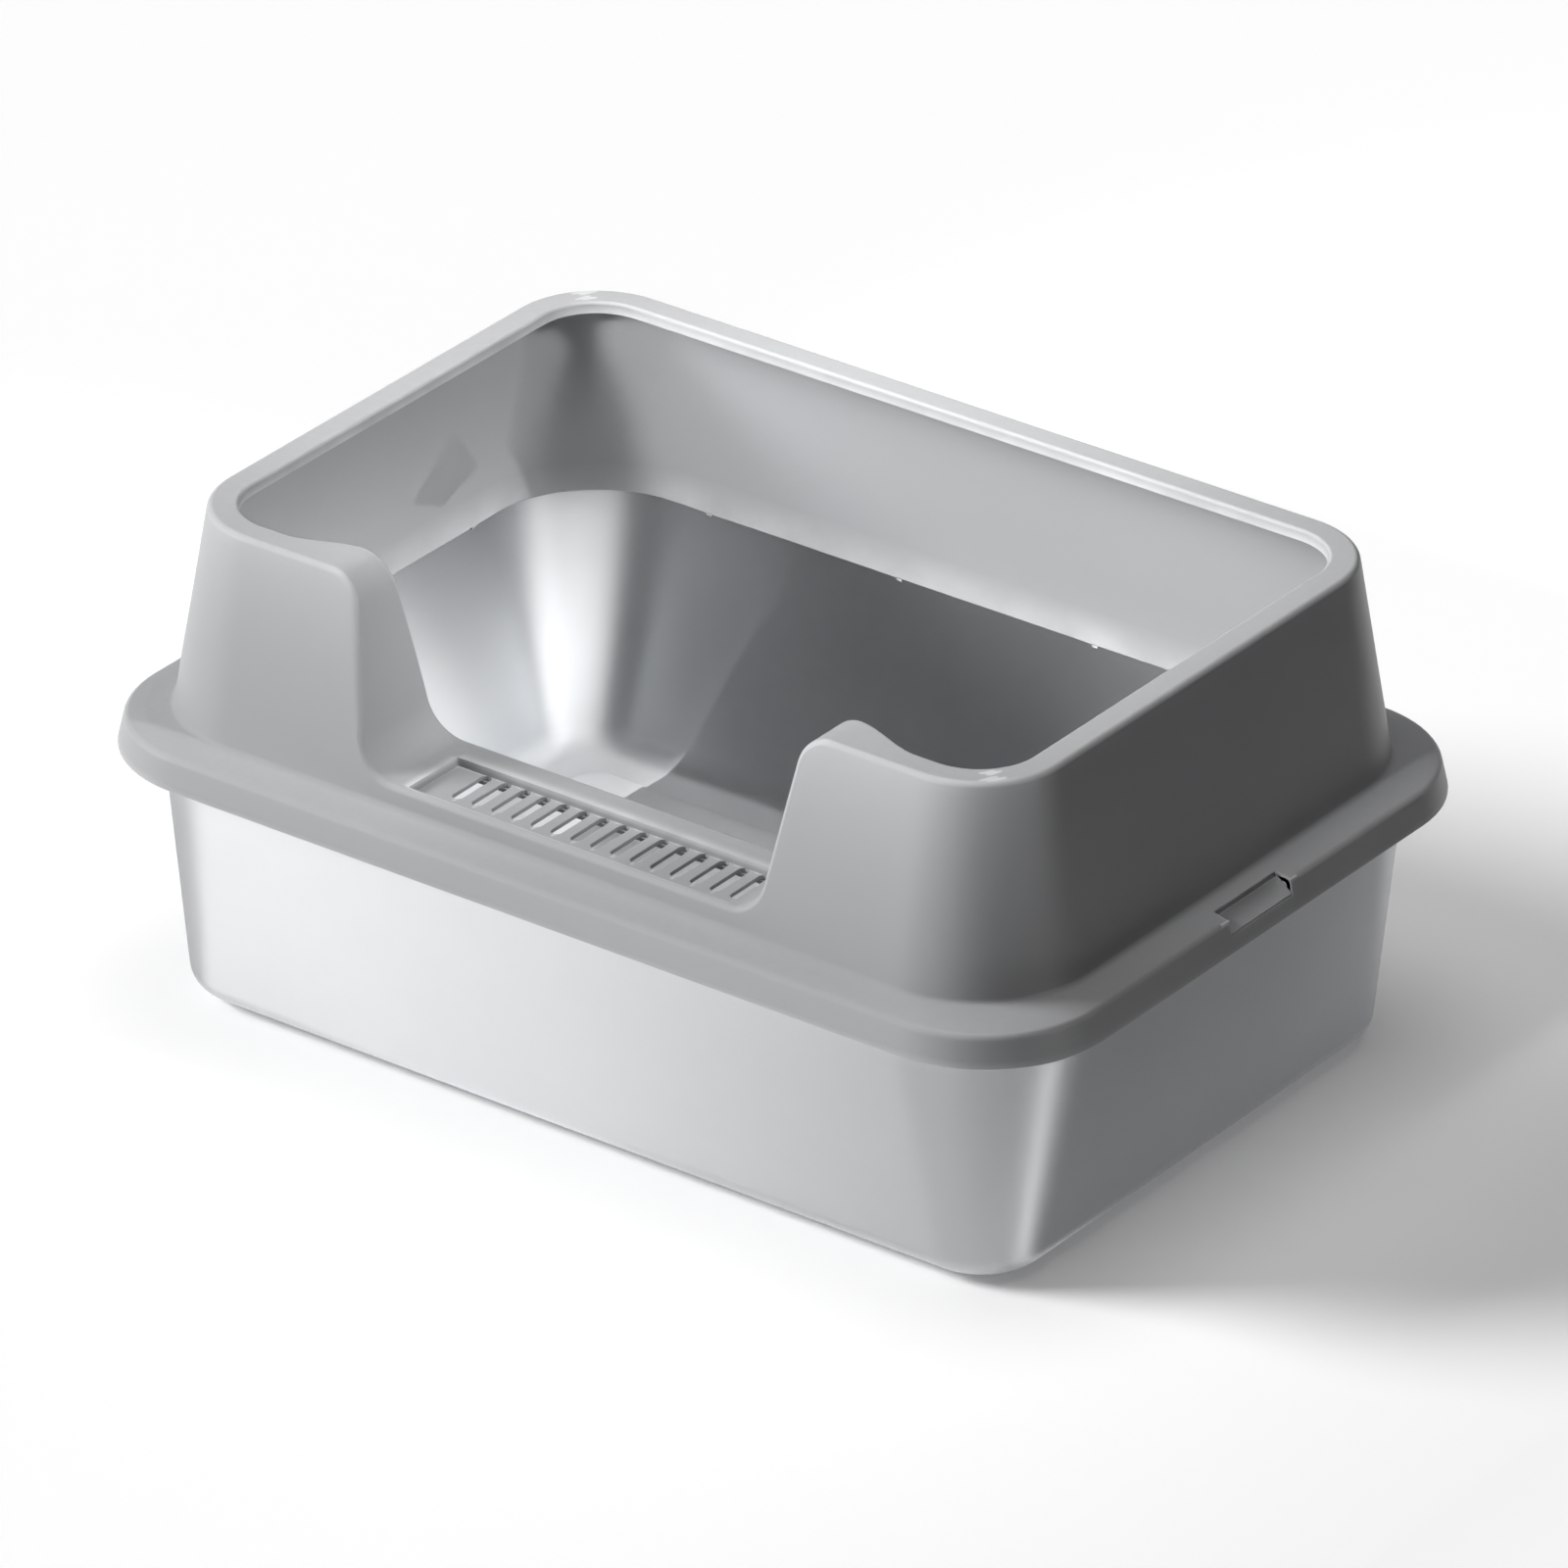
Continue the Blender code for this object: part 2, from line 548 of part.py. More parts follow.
def latch_section():
    """Right-hand latch without its barrel: thumb pad, stop tab and hanging arm."""
    back_x = WINDOW_BACK + LATCH_TRAVEL_GAP
    tip_x = SIDE_DIFFERENCE + skirt_inside(WINDOW_LOW) + SKIRT_WALL - GAP
    tip_z = WINDOW_LOW + GAP
    tip_top = tip_z + LATCH_TIP
    top = []
    normal = Vector((tip_top - PAD_BACK_Z, back_x - tip_x)).normalized()
    for i in range(HOLLOW_STEPS + 1):
        share = i / HOLLOW_STEPS
        sink = 4.0 * share * (1.0 - share) * LATCH_HOLLOW      # parabola, deepest halfway
        x = back_x + (tip_x - back_x) * share + normal.x * sink
        z = PAD_BACK_Z + (tip_top - PAD_BACK_Z) * share + normal.y * sink
        top.append((x, z))
    arm_in = SIDE_DIFFERENCE + PAN_RIM_EDGE + HEM_CLEAR
    arm_out = arm_in + LATCH_ARM
    toe_z = PAN_RIM_Z - PAN_HEM - TOE_DROP
    tab_x = SPRING_X - SPRING_RADIUS - GAP
    return top + [
        (tip_x, tip_z), (arm_out, tip_z), (arm_out, toe_z), (arm_in, toe_z), (arm_in, PIN_Z),
        (PIN_X, PIN_Z + PIN_RADIUS + GAP), (back_x, TAB_Z - LATCH_PAD), (tab_x, TAB_Z - LATCH_PAD),
        (tab_x, TAB_Z), (back_x, TAB_Z),
    ]


def latch(side, name, plastic):
    half = WINDOW_HALF - GAP
    tip = cylinder_along_y("latch_barrel", side * PIN_X, PIN_Z, BARREL_RADIUS, -half, half)
    lever = prism(name, mirrored(latch_section(), side), along_y, -half, half)
    combine(lever, tip, "UNION")
    bore = cylinder_along_y("latch_bore", side * PIN_X, PIN_Z, PIN_RADIUS + GAP,
                            -half - OVERRUN, half + OVERRUN)
    combine(lever, bore, "DIFFERENCE")
    room = SPRING_RADIUS + SPRING_ROOM
    xs = sorted((side * (SPRING_X - room), side * (SPRING_X + room)))
    notch = box("spring_room", (xs[0], -room, SHELF_Z), (xs[1], room, TAB_Z - LATCH_PAD))
    combine(lever, notch, "DIFFERENCE")
    lever.data.materials.append(plastic)
    return lever


def latch_pin(side, name, steel):
    reach = WINDOW_HALF + PIN_SEAT
    pin = cylinder_along_y(name, side * PIN_X, PIN_Z, PIN_RADIUS, -reach, reach)
    pin.data.materials.append(steel)


def latch_spring(side, name, steel):
    """Compression spring standing on the shelf under the latch's stop tab."""
    low = SHELF_Z + SHELF_THICKNESS + GAP + SPRING_WIRE / 2.0
    high = TAB_Z - LATCH_PAD - GAP - SPRING_WIRE / 2.0
    curve = bpy.data.curves.new(name, "CURVE")
    curve.dimensions = "3D"
    curve.bevel_depth = SPRING_WIRE / 2.0
    curve.bevel_resolution = 1
    curve.use_fill_caps = True
    spline = curve.splines.new("POLY")
    count = SPRING_TURNS * SPRING_TURN_STEPS
    spline.points.add(count)
    for i, point in enumerate(spline.points):
        share = i / count
        angle = 2.0 * math.pi * SPRING_TURNS * share
        radius = SPRING_RADIUS - SPRING_WIRE / 2.0
        x = side * SPRING_X + radius * math.cos(angle)
        point.co = (x, radius * math.sin(angle), low + (high - low) * share, 1.0)
    curve.materials.append(steel)
    obj = bpy.data.objects.new(name, curve)
    bpy.context.scene.collection.objects.link(obj)


# ---------------------------------------------------------------- grate
def litter_grate(plastic):
    front = grate_front() + GAP
    top = SILL_Z - GRATE_SUNK
    seat = top - GRATE_THICKNESS + GAP
    plate = box("litter_grate", (GRATE_LEFT + GAP, front, seat),
                (GRATE_RIGHT - GAP, grate_front() + GRATE_WIDTH - GAP, top))
    near = front + SLOT_SETBACK + SLOT_WIDTH / 2.0
    far = front + SLOT_SETBACK + SLOT_LENGTH - SLOT_WIDTH / 2.0
    slots = bmesh.new()
    for i in range(SLOT_COUNT):
        x = GRATE_RIGHT - SLOT_END_MARGIN - SLOT_PITCH * i
        outline = arc(x, far, SLOT_WIDTH / 2.0, 0.0, 180.0, SLOT_END_STEPS)
        outline += arc(x, near, SLOT_WIDTH / 2.0, 180.0, 360.0, SLOT_END_STEPS)
        low = [slots.verts.new((u, v, seat - OVERRUN)) for u, v in outline]
        face = slots.faces.new(low)
        pushed = bmesh.ops.extrude_face_region(slots, geom=[face])
        verts = [item for item in pushed["geom"] if isinstance(item, bmesh.types.BMVert)]
        bmesh.ops.translate(slots, verts=verts, vec=(0.0, 0.0, GRATE_THICKNESS + 2.0 * OVERRUN))
    combine(plate, new_object("grate_slots", slots), "DIFFERENCE")
    plate.data.materials.append(plastic)


# ---------------------------------------------------------------- assembly
def splash_guard(plastic):
    cavity = guard_cavity()
    for tool in guard_border() + [sill_tray()] + rim_ribs() + latch_bosses(-1) + latch_bosses(1):
        combine(cavity, tool, "DIFFERENCE")
    guard = guard_outer()
    combine(guard, cavity, "DIFFERENCE")
    front = -SKIRT_FOOT - OVERRUN
    entry = prism("entry_cut", entry_outline(0.0), along_y, front, -GUARD_TOP / 2.0)
    cutters = [entry] + sill_cutters()
    for side in (-1, 1):
        cutters += [latch_window(side), pin_bore(side)]
    for tool in cutters:
        combine(guard, tool, "DIFFERENCE")
    guard.data.materials.append(plastic)


def build():
    for obj in list(bpy.data.objects):
        bpy.data.objects.remove(obj, do_unlink=True)
    plastic = material("guard_plastic", (0.40, 0.40, 0.41), 0.45)
    steel = material("pin_steel", (0.60, 0.60, 0.62), 0.30, 1.0)
    steel_pan()
    feet()
    splash_guard(plastic)
    litter_grate(plastic)
    for side, word in ((-1, "left"), (1, "right")):
        latch(side, "latch_" + word, plastic)
        latch_pin(side, "latch_pin_" + word, steel)
        latch_spring(side, "latch_spring_" + word, steel)


build()
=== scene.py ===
import json
import math

import bpy
import bmesh
import numpy as np
from mathutils import Matrix, Vector

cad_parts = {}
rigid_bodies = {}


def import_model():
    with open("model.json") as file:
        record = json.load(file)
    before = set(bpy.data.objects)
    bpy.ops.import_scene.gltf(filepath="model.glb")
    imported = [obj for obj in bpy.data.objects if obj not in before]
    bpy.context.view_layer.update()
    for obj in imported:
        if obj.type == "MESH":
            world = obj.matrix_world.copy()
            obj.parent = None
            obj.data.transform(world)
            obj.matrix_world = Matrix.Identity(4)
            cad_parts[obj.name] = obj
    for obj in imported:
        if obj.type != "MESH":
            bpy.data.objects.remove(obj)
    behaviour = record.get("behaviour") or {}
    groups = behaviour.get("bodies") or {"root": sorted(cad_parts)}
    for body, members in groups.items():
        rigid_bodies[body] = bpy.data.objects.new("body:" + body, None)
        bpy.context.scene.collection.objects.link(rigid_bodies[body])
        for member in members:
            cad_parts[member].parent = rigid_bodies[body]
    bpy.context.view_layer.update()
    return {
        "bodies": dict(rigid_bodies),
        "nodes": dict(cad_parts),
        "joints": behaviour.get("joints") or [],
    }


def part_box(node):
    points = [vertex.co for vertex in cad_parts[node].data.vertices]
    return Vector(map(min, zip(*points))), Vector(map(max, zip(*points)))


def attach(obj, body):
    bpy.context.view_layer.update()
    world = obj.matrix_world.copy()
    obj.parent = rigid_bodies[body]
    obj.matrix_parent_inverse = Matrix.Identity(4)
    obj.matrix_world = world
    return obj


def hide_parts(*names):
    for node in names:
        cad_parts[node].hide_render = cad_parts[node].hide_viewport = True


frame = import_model()
kept = set(frame["nodes"].values()) | set(frame["bodies"].values())
for leftOver in [obj for obj in bpy.data.objects if obj not in kept]:
    bpy.data.objects.remove(leftOver)

# what the frame says about where things are
guardLow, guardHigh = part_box("splash_guard")
panLow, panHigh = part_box("steel_pan")
grateLow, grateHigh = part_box("litter_grate")
latchLow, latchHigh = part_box("latch_right")
pinLow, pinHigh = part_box("latch_pin_right")
longer = guardHigh.x - guardHigh.y          # half-length less half-width, the same at every level
skirtZ = guardLow.z
guardTopZ = guardHigh.z
panRimZ = panHigh.z
gap = 0.0003                                # between pieces that touch

guard = {
    "wall": 0.0025,             # thickness of the moulding
    "lean": 0.1662,             # how far the wall leans out for each unit it comes down
    "flangeDepth": 0.01515,     # foot of the wall out to the flange's edge
    "flangeFall": 0.00356,
    "skirtHeight": 0.0144,
    "skirtFlare": 0.0032,
    "skirtWall": 0.0022,
    "skirtCorner": 0.060,
    "corner": 0.041,            # plan radius at the rim's outer edge
    "rim": 0.01315,             # width of the turned-in rim
    "rimLip": 0.0056,
    "dripGap": 0.0018,          # between the guard's inner edge and the pan's rim
    "edgeRound": 0.0024,
    "skirtRound": 0.0021,
    "footRound": 0.0020,
    "insideRound": 0.0007,
    "windowHalf": 0.0220,
    "windowDepth": 0.0077,
    "windowDrop": 0.0066,
    "windowBevel": 0.00045,
    "lipEdge": 0.0008,          # rounding of the skirt's lower edge
    "skirtLine": 0.0040,        # first line of faces above the skirt's lower edge
    "underBend": 0.0012,        # rounding between the skirt and the flange, inside
    "lipChamfer": 0.0006,       # on the inner edge that hangs over the pan
    "lineSpace": 0.0025,        # between the lines of faces at the back of a window
}
entry = {
    "sillRise": 0.0280,
    "sillHalf": 0.0876,         # to where the sill starts to round up
    "sillRound": 0.0170,
    "topHalf": 0.1300,          # to where the rim starts to round down
    "topRound": 0.0160,
    "depthTop": 0.0235,         # depth of the border at the rim and at the sill
    "depthSill": 0.0529,
    "flareStart": 0.1650,       # the rim widens towards the entry between these
    "flareEnd": 0.1280,
    "innerRoundRim": 0.0016,
    "innerRoundSill": 0.0045,
    "sillLip": 0.0064,          # how far the sill's inner edge turns down
    "jambLip": 0.0042,
    "recessDrop": 0.0057,
    "recessStep": 0.0003,       # half the run of the recess's walls
    "ledge": 0.0018,
    "recessLines": (0.010, 0.017, 0.024),   # lines of faces from the recess's front edge
    "behindLines": (0.0045, 0.0090),        # and from its back edge
}
wall = guard["wall"]
skirtFoot = guardHigh.y
flangeEdge = skirtFoot - guard["skirtFlare"]
flangeZ = skirtZ + guard["skirtHeight"]
wallFoot = flangeEdge - guard["flangeDepth"]
wallFootZ = flangeZ + guard["flangeFall"]
guardTop = wallFoot - guard["lean"] * (guardTopZ - wallFootZ)
wallAcross = wall * math.hypot(1.0, guard["lean"])
sillZ = skirtZ + entry["sillRise"]
dripZ = panRimZ + guard["dripGap"]
refX = guardTop + longer - guard["corner"]  # where the rim's corners start
refY = guardTop - guard["corner"]
flangeCorner = guard["skirtCorner"] - guard["skirtFlare"]


def roundCorner(start, corner, end, count):
    # rational quadratic through start and end, pulled to corner: a circle where they meet squarely
    t = np.linspace(0.0, 1.0, count)[:, None]
    pull = math.sqrt(0.5)
    weights = np.hstack([(1 - t) ** 2, 2 * pull * t * (1 - t), t ** 2])
    stack = np.array([start, corner, end], float)
    return (weights @ stack) / weights.sum(axis=1, keepdims=True)


def along(value, tangent, reference, fixedPart):
    # places are absolute up to fixedPart, then stretch evenly so that reference lands on tangent
    size = np.abs(value)
    stretched = fixedPart + (size - fixedPart) * (tangent - fixedPart) / (reference - fixedPart)
    return np.sign(value) * np.where(size > fixedPart, stretched, size)


def ringPoint(halfWidth, corner, z, station):
    # point of a rounded rectangle: its corner centre, or the place along the side, plus the
    # corner's radius along the outward direction
    x = along(station["x"], halfWidth + longer - corner, refX, station["fixedX"])
    y = along(station["y"], halfWidth - corner, refY, station["fixedY"])
    x = x + corner * np.cos(station["turn"])
    y = y + corner * np.sin(station["turn"])
    return np.stack(np.broadcast_arrays(x, y, z), axis=-1)


def makeObject(name, points, faces, smoothAngle=35.0, recalculate=True):
    mesh = bpy.data.meshes.new(name)
    mesh.from_pydata(np.asarray(points, float).reshape(-1, 3).tolist(), [], faces)
    work = bmesh.new()
    work.from_mesh(mesh)
    bmesh.ops.remove_doubles(work, verts=work.verts, dist=2e-7)
    bmesh.ops.delete(work, geom=[vert for vert in work.verts if not vert.link_faces], context="VERTS")
    if recalculate:
        bmesh.ops.recalc_face_normals(work, faces=work.faces)
    work.to_mesh(mesh)
    work.free()
    mesh.shade_smooth()
    mesh.set_sharp_from_angle(angle=math.radians(smoothAngle))
    made = bpy.data.objects.new(name, mesh)
    bpy.context.scene.collection.objects.link(made)
    return made


def sheetFaces(rows, columns, keep, offset, flip, closed=True):
    # quads of a grid of rows by columns; rows wrap round when closed
    row, column = np.nonzero(keep)
    nextRow = (row + 1) % rows if closed else row + 1
    quad = np.stack([row * columns + column, nextRow * columns + column,
                     nextRow * columns + column + 1, row * columns + column + 1], axis=1) + offset
    return quad[:, ::-1] if flip else quad


def thickSheet(outer, inner, keep, capped=False):
    # outer and inner are (rows, columns, 3) with matching places, rows closed; the two are joined
    # along both edges and round every hole in keep
    rows, columns = outer.shape[:2]
    half = rows * columns
    faces = [sheetFaces(rows, columns, keep, 0, False), sheetFaces(rows, columns, keep, half, True)]
    row = np.arange(rows)
    after = (row + 1) % rows
    for column in (columns - 1,) if capped else (0, columns - 1):
        first, second = row * columns + column, after * columns + column
        faces.append(np.stack([first, second, second + half, first + half], axis=1))
    across = keep[:, 1:] != keep[:, :-1]
    row, column = np.nonzero(across)
    first, second = row * columns + column + 1, ((row + 1) % rows) * columns + column + 1
    faces.append(np.stack([first, second, second + half, first + half], axis=1))
    onward = keep != np.roll(keep, 1, axis=0)
    row, column = np.nonzero(onward)
    first = row * columns + column
    faces.append(np.stack([first, first + 1, first + 1 + half, first + half], axis=1))
    holeEdge = np.zeros((rows, columns), bool)
    row, column = np.nonzero(across)
    holeEdge[row, column + 1] = holeEdge[(row + 1) % rows, column + 1] = True
    row, column = np.nonzero(onward)
    holeEdge[row, column] = holeEdge[row, column + 1] = True
    return np.concatenate([outer.reshape(-1, 3), inner.reshape(-1, 3)]), np.concatenate(faces), holeEdge


def blockFaces(points, low, high):
    # a plain block added to a list of points; returns its faces
    start = sum(len(part) for part in points)
    corners = np.array([[(high if i & 1 else low)[0], (high if i & 2 else low)[1],
                         (high if i & 4 else low)[2]] for i in range(8)])
    points.append(corners)
    quads = np.array([[0, 2, 3, 1], [4, 5, 7, 6], [0, 1, 5, 4], [2, 6, 7, 3], [0, 4, 6, 2], [1, 3, 7, 5]])
    return quads + start


# entry outline: sill, round, straight side, round, rim. Each station has its place on the edge,
# the direction into the plastic, and the place on the skirt below it.
def entryHalf(sillPlaces):
    lowCentre = np.array([entry["sillHalf"], sillZ + entry["sillRound"]])
    highCentre = np.array([entry["topHalf"], guardTopZ - entry["topRound"]])
    across = highCentre - lowCentre
    # the side is the inner tangent of the two rounds
    facing = math.atan2(across[1], across[0]) - math.acos(
        (entry["topRound"] + entry["sillRound"]) / np.hypot(*across))
    lowTurn = np.linspace(-math.pi / 2, facing, 15)[1:]
    highTurn = np.linspace(math.pi + facing, math.pi / 2, 15)
    lowArc = np.stack([np.cos(lowTurn), np.sin(lowTurn)], axis=1)
    highArc = np.stack([np.cos(highTurn), np.sin(highTurn)], axis=1)
    lowEdge = lowCentre + entry["sillRound"] * lowArc
    highEdge = highCentre + entry["topRound"] * highArc
    share = np.linspace(0.0, 1.0, 10)[1:-1, None]
    side = lowEdge[-1] + (highEdge[0] - lowEdge[-1]) * share
    rimX = np.array([0.1335, 0.138, 0.143, 0.148, 0.153, 0.158, 0.1615, 0.165, 0.170])
    rimEdge = np.stack([rimX, np.full(len(rimX), guardTopZ)], axis=1)
    sillEdge = np.stack([sillPlaces, np.full(len(sillPlaces), sillZ)], axis=1)
    edge = np.concatenate([sillEdge, lowEdge, side, highEdge, rimEdge])
    down = np.array([0.0, -1.0])
    into = np.concatenate([np.tile(down, (len(sillPlaces), 1)), lowArc, np.tile(lowArc[-1], (len(side), 1)),
                           -highArc, np.tile(down, (len(rimX), 1))])
    length = np.concatenate([[0.0], np.cumsum(np.hypot(*np.diff(edge, axis=0).T))])
    first = len(sillPlaces) - 1
    last = int(np.argmax(edge[:, 0] >= entry["flareStart"]))
    base = edge[:, 0].copy()
    share = (length[first:last + 1] - length[first]) / (length[last] - length[first])
    base[first:last + 1] = edge[first, 0] + (entry["flareStart"] - edge[first, 0]) * share
    return edge, into, base


def guardStations():
    # one station after another, anticlockwise from above, starting at the left end of the front
    step = entry["recessStep"]
    recessLeft, recessRight = grateLow.x - gap, grateHigh.x + gap
    ledge = entry["ledge"]
    rightSill = np.array([0.006, 0.018, 0.030, 0.042, 0.054, 0.066, 0.077, recessRight - ledge,
                          recessRight - step, recessRight, recessRight + step, entry["sillHalf"] + 0.0002])
    leftSill = -np.array([recessLeft - step, recessLeft, recessLeft + step, recessLeft + ledge])[::-1]
    leftSill = np.concatenate([[0.006, 0.018, 0.030, 0.042, 0.054, 0.066], leftSill,
                               [0.0835, entry["sillHalf"]]])
    rightEdge, rightInto, rightBase = entryHalf(rightSill)
    leftEdge, leftInto, leftBase = entryHalf(leftSill)
    mirror = np.array([-1.0, 1.0])
    edge = np.concatenate([(leftEdge * mirror)[::-1], rightEdge])
    into = np.concatenate([(leftInto * mirror)[::-1], rightInto])
    base = np.concatenate([-leftBase[::-1], rightBase])
    half = guard["windowHalf"]
    window = np.array([-half, -half + 0.0022, -0.011, 0.0, 0.011, half - 0.0022, half])
    beyond = np.array([0.0245, 0.034, 0.050, 0.070, 0.090])
    side = np.concatenate([-beyond[::-1], window, beyond])
    back = np.linspace(0.165, -0.165, 12)
    corner = np.linspace(0.0, math.pi / 2, 19)
    parts = []

    def add(x, y, turn, xEdge=None, z=None, n=None):
        count = max(np.size(x), np.size(y), np.size(turn))
        full = [np.broadcast_to(np.asarray(item, float), (count,)) for item in (x, y, turn)]
        full.append(full[0] if xEdge is None else xEdge)
        full.append(np.full(count, guardTopZ) if z is None else z)
        full += [np.zeros(count), np.full(count, -1.0)] if n is None else [n[:, 0], n[:, 1]]
        parts.append(np.stack(full))

    add(base, -refY, -math.pi / 2, edge[:, 0], edge[:, 1], into)
    add(refX, -refY, corner - math.pi / 2)
    add(refX, side, 0.0)
    add(refX, refY, corner)
    add(back, refY, math.pi / 2)
    add(-refX, refY, corner + math.pi / 2)
    add(-refX, -side, math.pi)
    add(-refX, -refY, corner + math.pi)
    names = ("base", "y", "turn", "edge", "edgeZ", "intoX", "intoZ")
    return dict(zip(names, np.concatenate(parts, axis=1)[:, :, None]))


def wallOutside(z):
    return guardTop + guard["lean"] * (guardTopZ - z)


def smoothStep(share):
    share = np.clip(share, 0.0, 1.0)
    return share * share * (3.0 - 2.0 * share)


def borderDepth(station):
    # how far the rim, the jamb or the sill reaches inwards from the outer edge
    x, z = np.abs(station["edge"]), station["edgeZ"]
    front = station["turn"] == -math.pi / 2
    share = (guardTopZ - z) / (guardTopZ - sillZ)
    insideTop = -guardTop + entry["depthTop"]
    insideSill = -wallOutside(sillZ) + entry["depthSill"]
    depth = wallOutside(z) + insideTop + (insideSill - insideTop) * share
    flare = smoothStep((entry["flareStart"] - x) / (entry["flareStart"] - entry["flareEnd"]))
    rimDepth = guard["rim"] + (entry["depthTop"] - guard["rim"]) * flare
    onRim = z > guardTopZ - 1e-6
    return np.where(front & ~onRim, depth, np.where(front, rimDepth, guard["rim"]))


def guardMesh():
    station = guardStations()
    place = {"x": station["base"], "y": station["y"], "turn": station["turn"],
             "fixedX": 0.165, "fixedY": 0.030}

    def level(halfWidth, z, corner):
        return ringPoint(halfWidth, corner, z, place)

    def wallPoint(z, inset, x):
        halfWidth = wallOutside(z) - inset
        return ringPoint(halfWidth, guard["corner"] + halfWidth - guardTop, z, dict(place, x=x))

    depth = borderDepth(station)
    # 0 at the rim, 1 at the sill
    low = smoothStep((guardTopZ - station["edgeZ"]) / (guardTopZ - sillZ))
    edgeRound = guard["edgeRound"]
    innerRound = entry["innerRoundRim"] + (entry["innerRoundSill"] - entry["innerRoundRim"]) * low ** 3
    onRim = station["edgeZ"] > guardTopZ - 1e-6
    flare = (depth - guard["rim"]) / (entry["depthTop"] - guard["rim"])
    lip = np.where(onRim, guard["rimLip"] + (entry["jambLip"] - guard["rimLip"]) * np.clip(flare, 0, 1),
                   entry["jambLip"] + (entry["sillLip"] - entry["jambLip"]) * low ** 3)

    def borderPoint(inwards, into):
        # inwards from the outer edge, and into the plastic from the border's face
        halfWidth = wallOutside(station["edgeZ"]) - inwards
        x = station["edge"] + station["intoX"] * into
        z = station["edgeZ"] + station["intoZ"] * into
        return ringPoint(halfWidth, guard["corner"] - inwards, z, dict(place, x=x))

    # skirt and flange as (half-width, height), outside and inside in step
    def skirtOut(z):
        return skirtFoot - guard["skirtFlare"] * (z - skirtZ) / guard["skirtHeight"]

    def under(halfWidth):
        return wallFootZ - wall - guard["flangeFall"] * (halfWidth - wallFoot) / guard["flangeDepth"]

    def top(halfWidth):
        return under(halfWidth) + wall

    def planRadius(halfWidth):
        # the flange's corner is rounder than the wall's
        if halfWidth > wallFoot + 0.004:
            return flangeCorner + halfWidth - flangeEdge
        return guard["corner"] + halfWidth - guardTop

    lipEdge, footRound, thin = guard["lipEdge"], guard["footRound"], guard["skirtWall"]
    lowLine, highLine = skirtZ + lipEdge, flangeZ - guard["skirtRound"]
    windowLow = flangeZ - guard["windowDrop"]
    windowBack = flangeEdge - guard["windowDepth"]
    backLines = (windowBack + guard["lineSpace"], windowBack, windowBack - guard["lineSpace"])
    flangeStart, flangeEnd = flangeEdge - guard["skirtRound"], wallFoot + footRound
    outside = list(roundCorner((skirtFoot - lipEdge, skirtZ), (skirtFoot, skirtZ),
                               (skirtOut(lowLine), lowLine), 4))
    outside += [(skirtOut(z), z) for z in (skirtZ + guard["skirtLine"], windowLow, windowLow + 0.0022)]
    outside += list(roundCorner((skirtOut(highLine), highLine), (flangeEdge, flangeZ),
                                (flangeStart, top(flangeStart)), 7))
    outside += [(halfWidth, top(halfWidth)) for halfWidth in backLines]
    outside += list(roundCorner((flangeEnd, top(flangeEnd)), (wallFoot, wallFootZ),
                                (wallOutside(wallFootZ + footRound), wallFootZ + footRound), 5))
    insideFoot = skirtFoot - thin
    inside = list(roundCorner((insideFoot + lipEdge * 0.6, skirtZ), (insideFoot, skirtZ),
                              (skirtOut(lowLine) - thin, lowLine), 4))
    inside += [(skirtOut(z) - thin, z) for z in (skirtZ + guard["skirtLine"], windowLow, windowLow + 0.0010)]
    bendX, bend = skirtOut(under(insideFoot)) - thin, guard["underBend"]
    inside += list(roundCorner((bendX, under(bendX) - bend), (bendX, under(bendX)),
                               (bendX - bend, under(bendX - bend)), 7))
    inside += [(halfWidth, under(halfWidth)) for halfWidth in backLines]
    lipBack, chamfer = wallFoot - guard["lean"] * wall, guard["lipChamfer"]
    lipIn = lipBack - wallAcross
    inside += [(lipBack, under(lipBack)), (lipBack, dripZ + chamfer), (lipBack - chamfer, dripZ),
               (lipIn + chamfer, dripZ), (lipIn, dripZ + chamfer)]
    outerLines = [level(halfWidth, z, planRadius(halfWidth)) for halfWidth, z in outside]
    innerLines = [level(halfWidth, z, planRadius(halfWidth)) for halfWidth, z in inside]
    windowColumns = (5, 15)       # lines windowLow and windowBack

    # wall: straight between the foot and the start of the edge's round, slanting where the edge does
    startX = station["edge"] + station["intoX"] * edgeRound
    startZ = station["edgeZ"] + station["intoZ"] * edgeRound
    turnX = station["edge"] + station["intoX"] * (wall + guard["insideRound"])
    turnZ = station["edgeZ"] + station["intoZ"] * (wall + guard["insideRound"])
    for share in np.linspace(0.0, 1.0, 10)[1:-1]:
        x = station["base"] + (startX - station["base"]) * share
        z = wallFootZ + footRound + (startZ - wallFootZ - footRound) * share
        outerLines.append(wallPoint(z, 0.0, x))
        x = station["base"] + (turnX - station["base"]) * share
        z = wallFootZ + (turnZ - wallFootZ) * share
        innerLines.append(wallPoint(z, wallAcross, x))

    def bent(start, corner, end, count):
        # the curve of roundCorner, for whole lines of points
        pull = math.sqrt(0.5)
        for share in np.linspace(0.0, 1.0, count):
            first, middle, last = (1 - share) ** 2, 2 * pull * share * (1 - share), share ** 2
            yield (start * first + corner * middle + end * last) / (first + middle + last)

    insideRound = guard["insideRound"]
    outerLines += bent(wallPoint(startZ, 0.0, startX), borderPoint(0.0, 0.0), borderPoint(edgeRound, 0.0), 8)
    innerLines += bent(wallPoint(turnZ, wallAcross, turnX), borderPoint(wallAcross, wall),
                       borderPoint(wallAcross + insideRound, wall), 8)

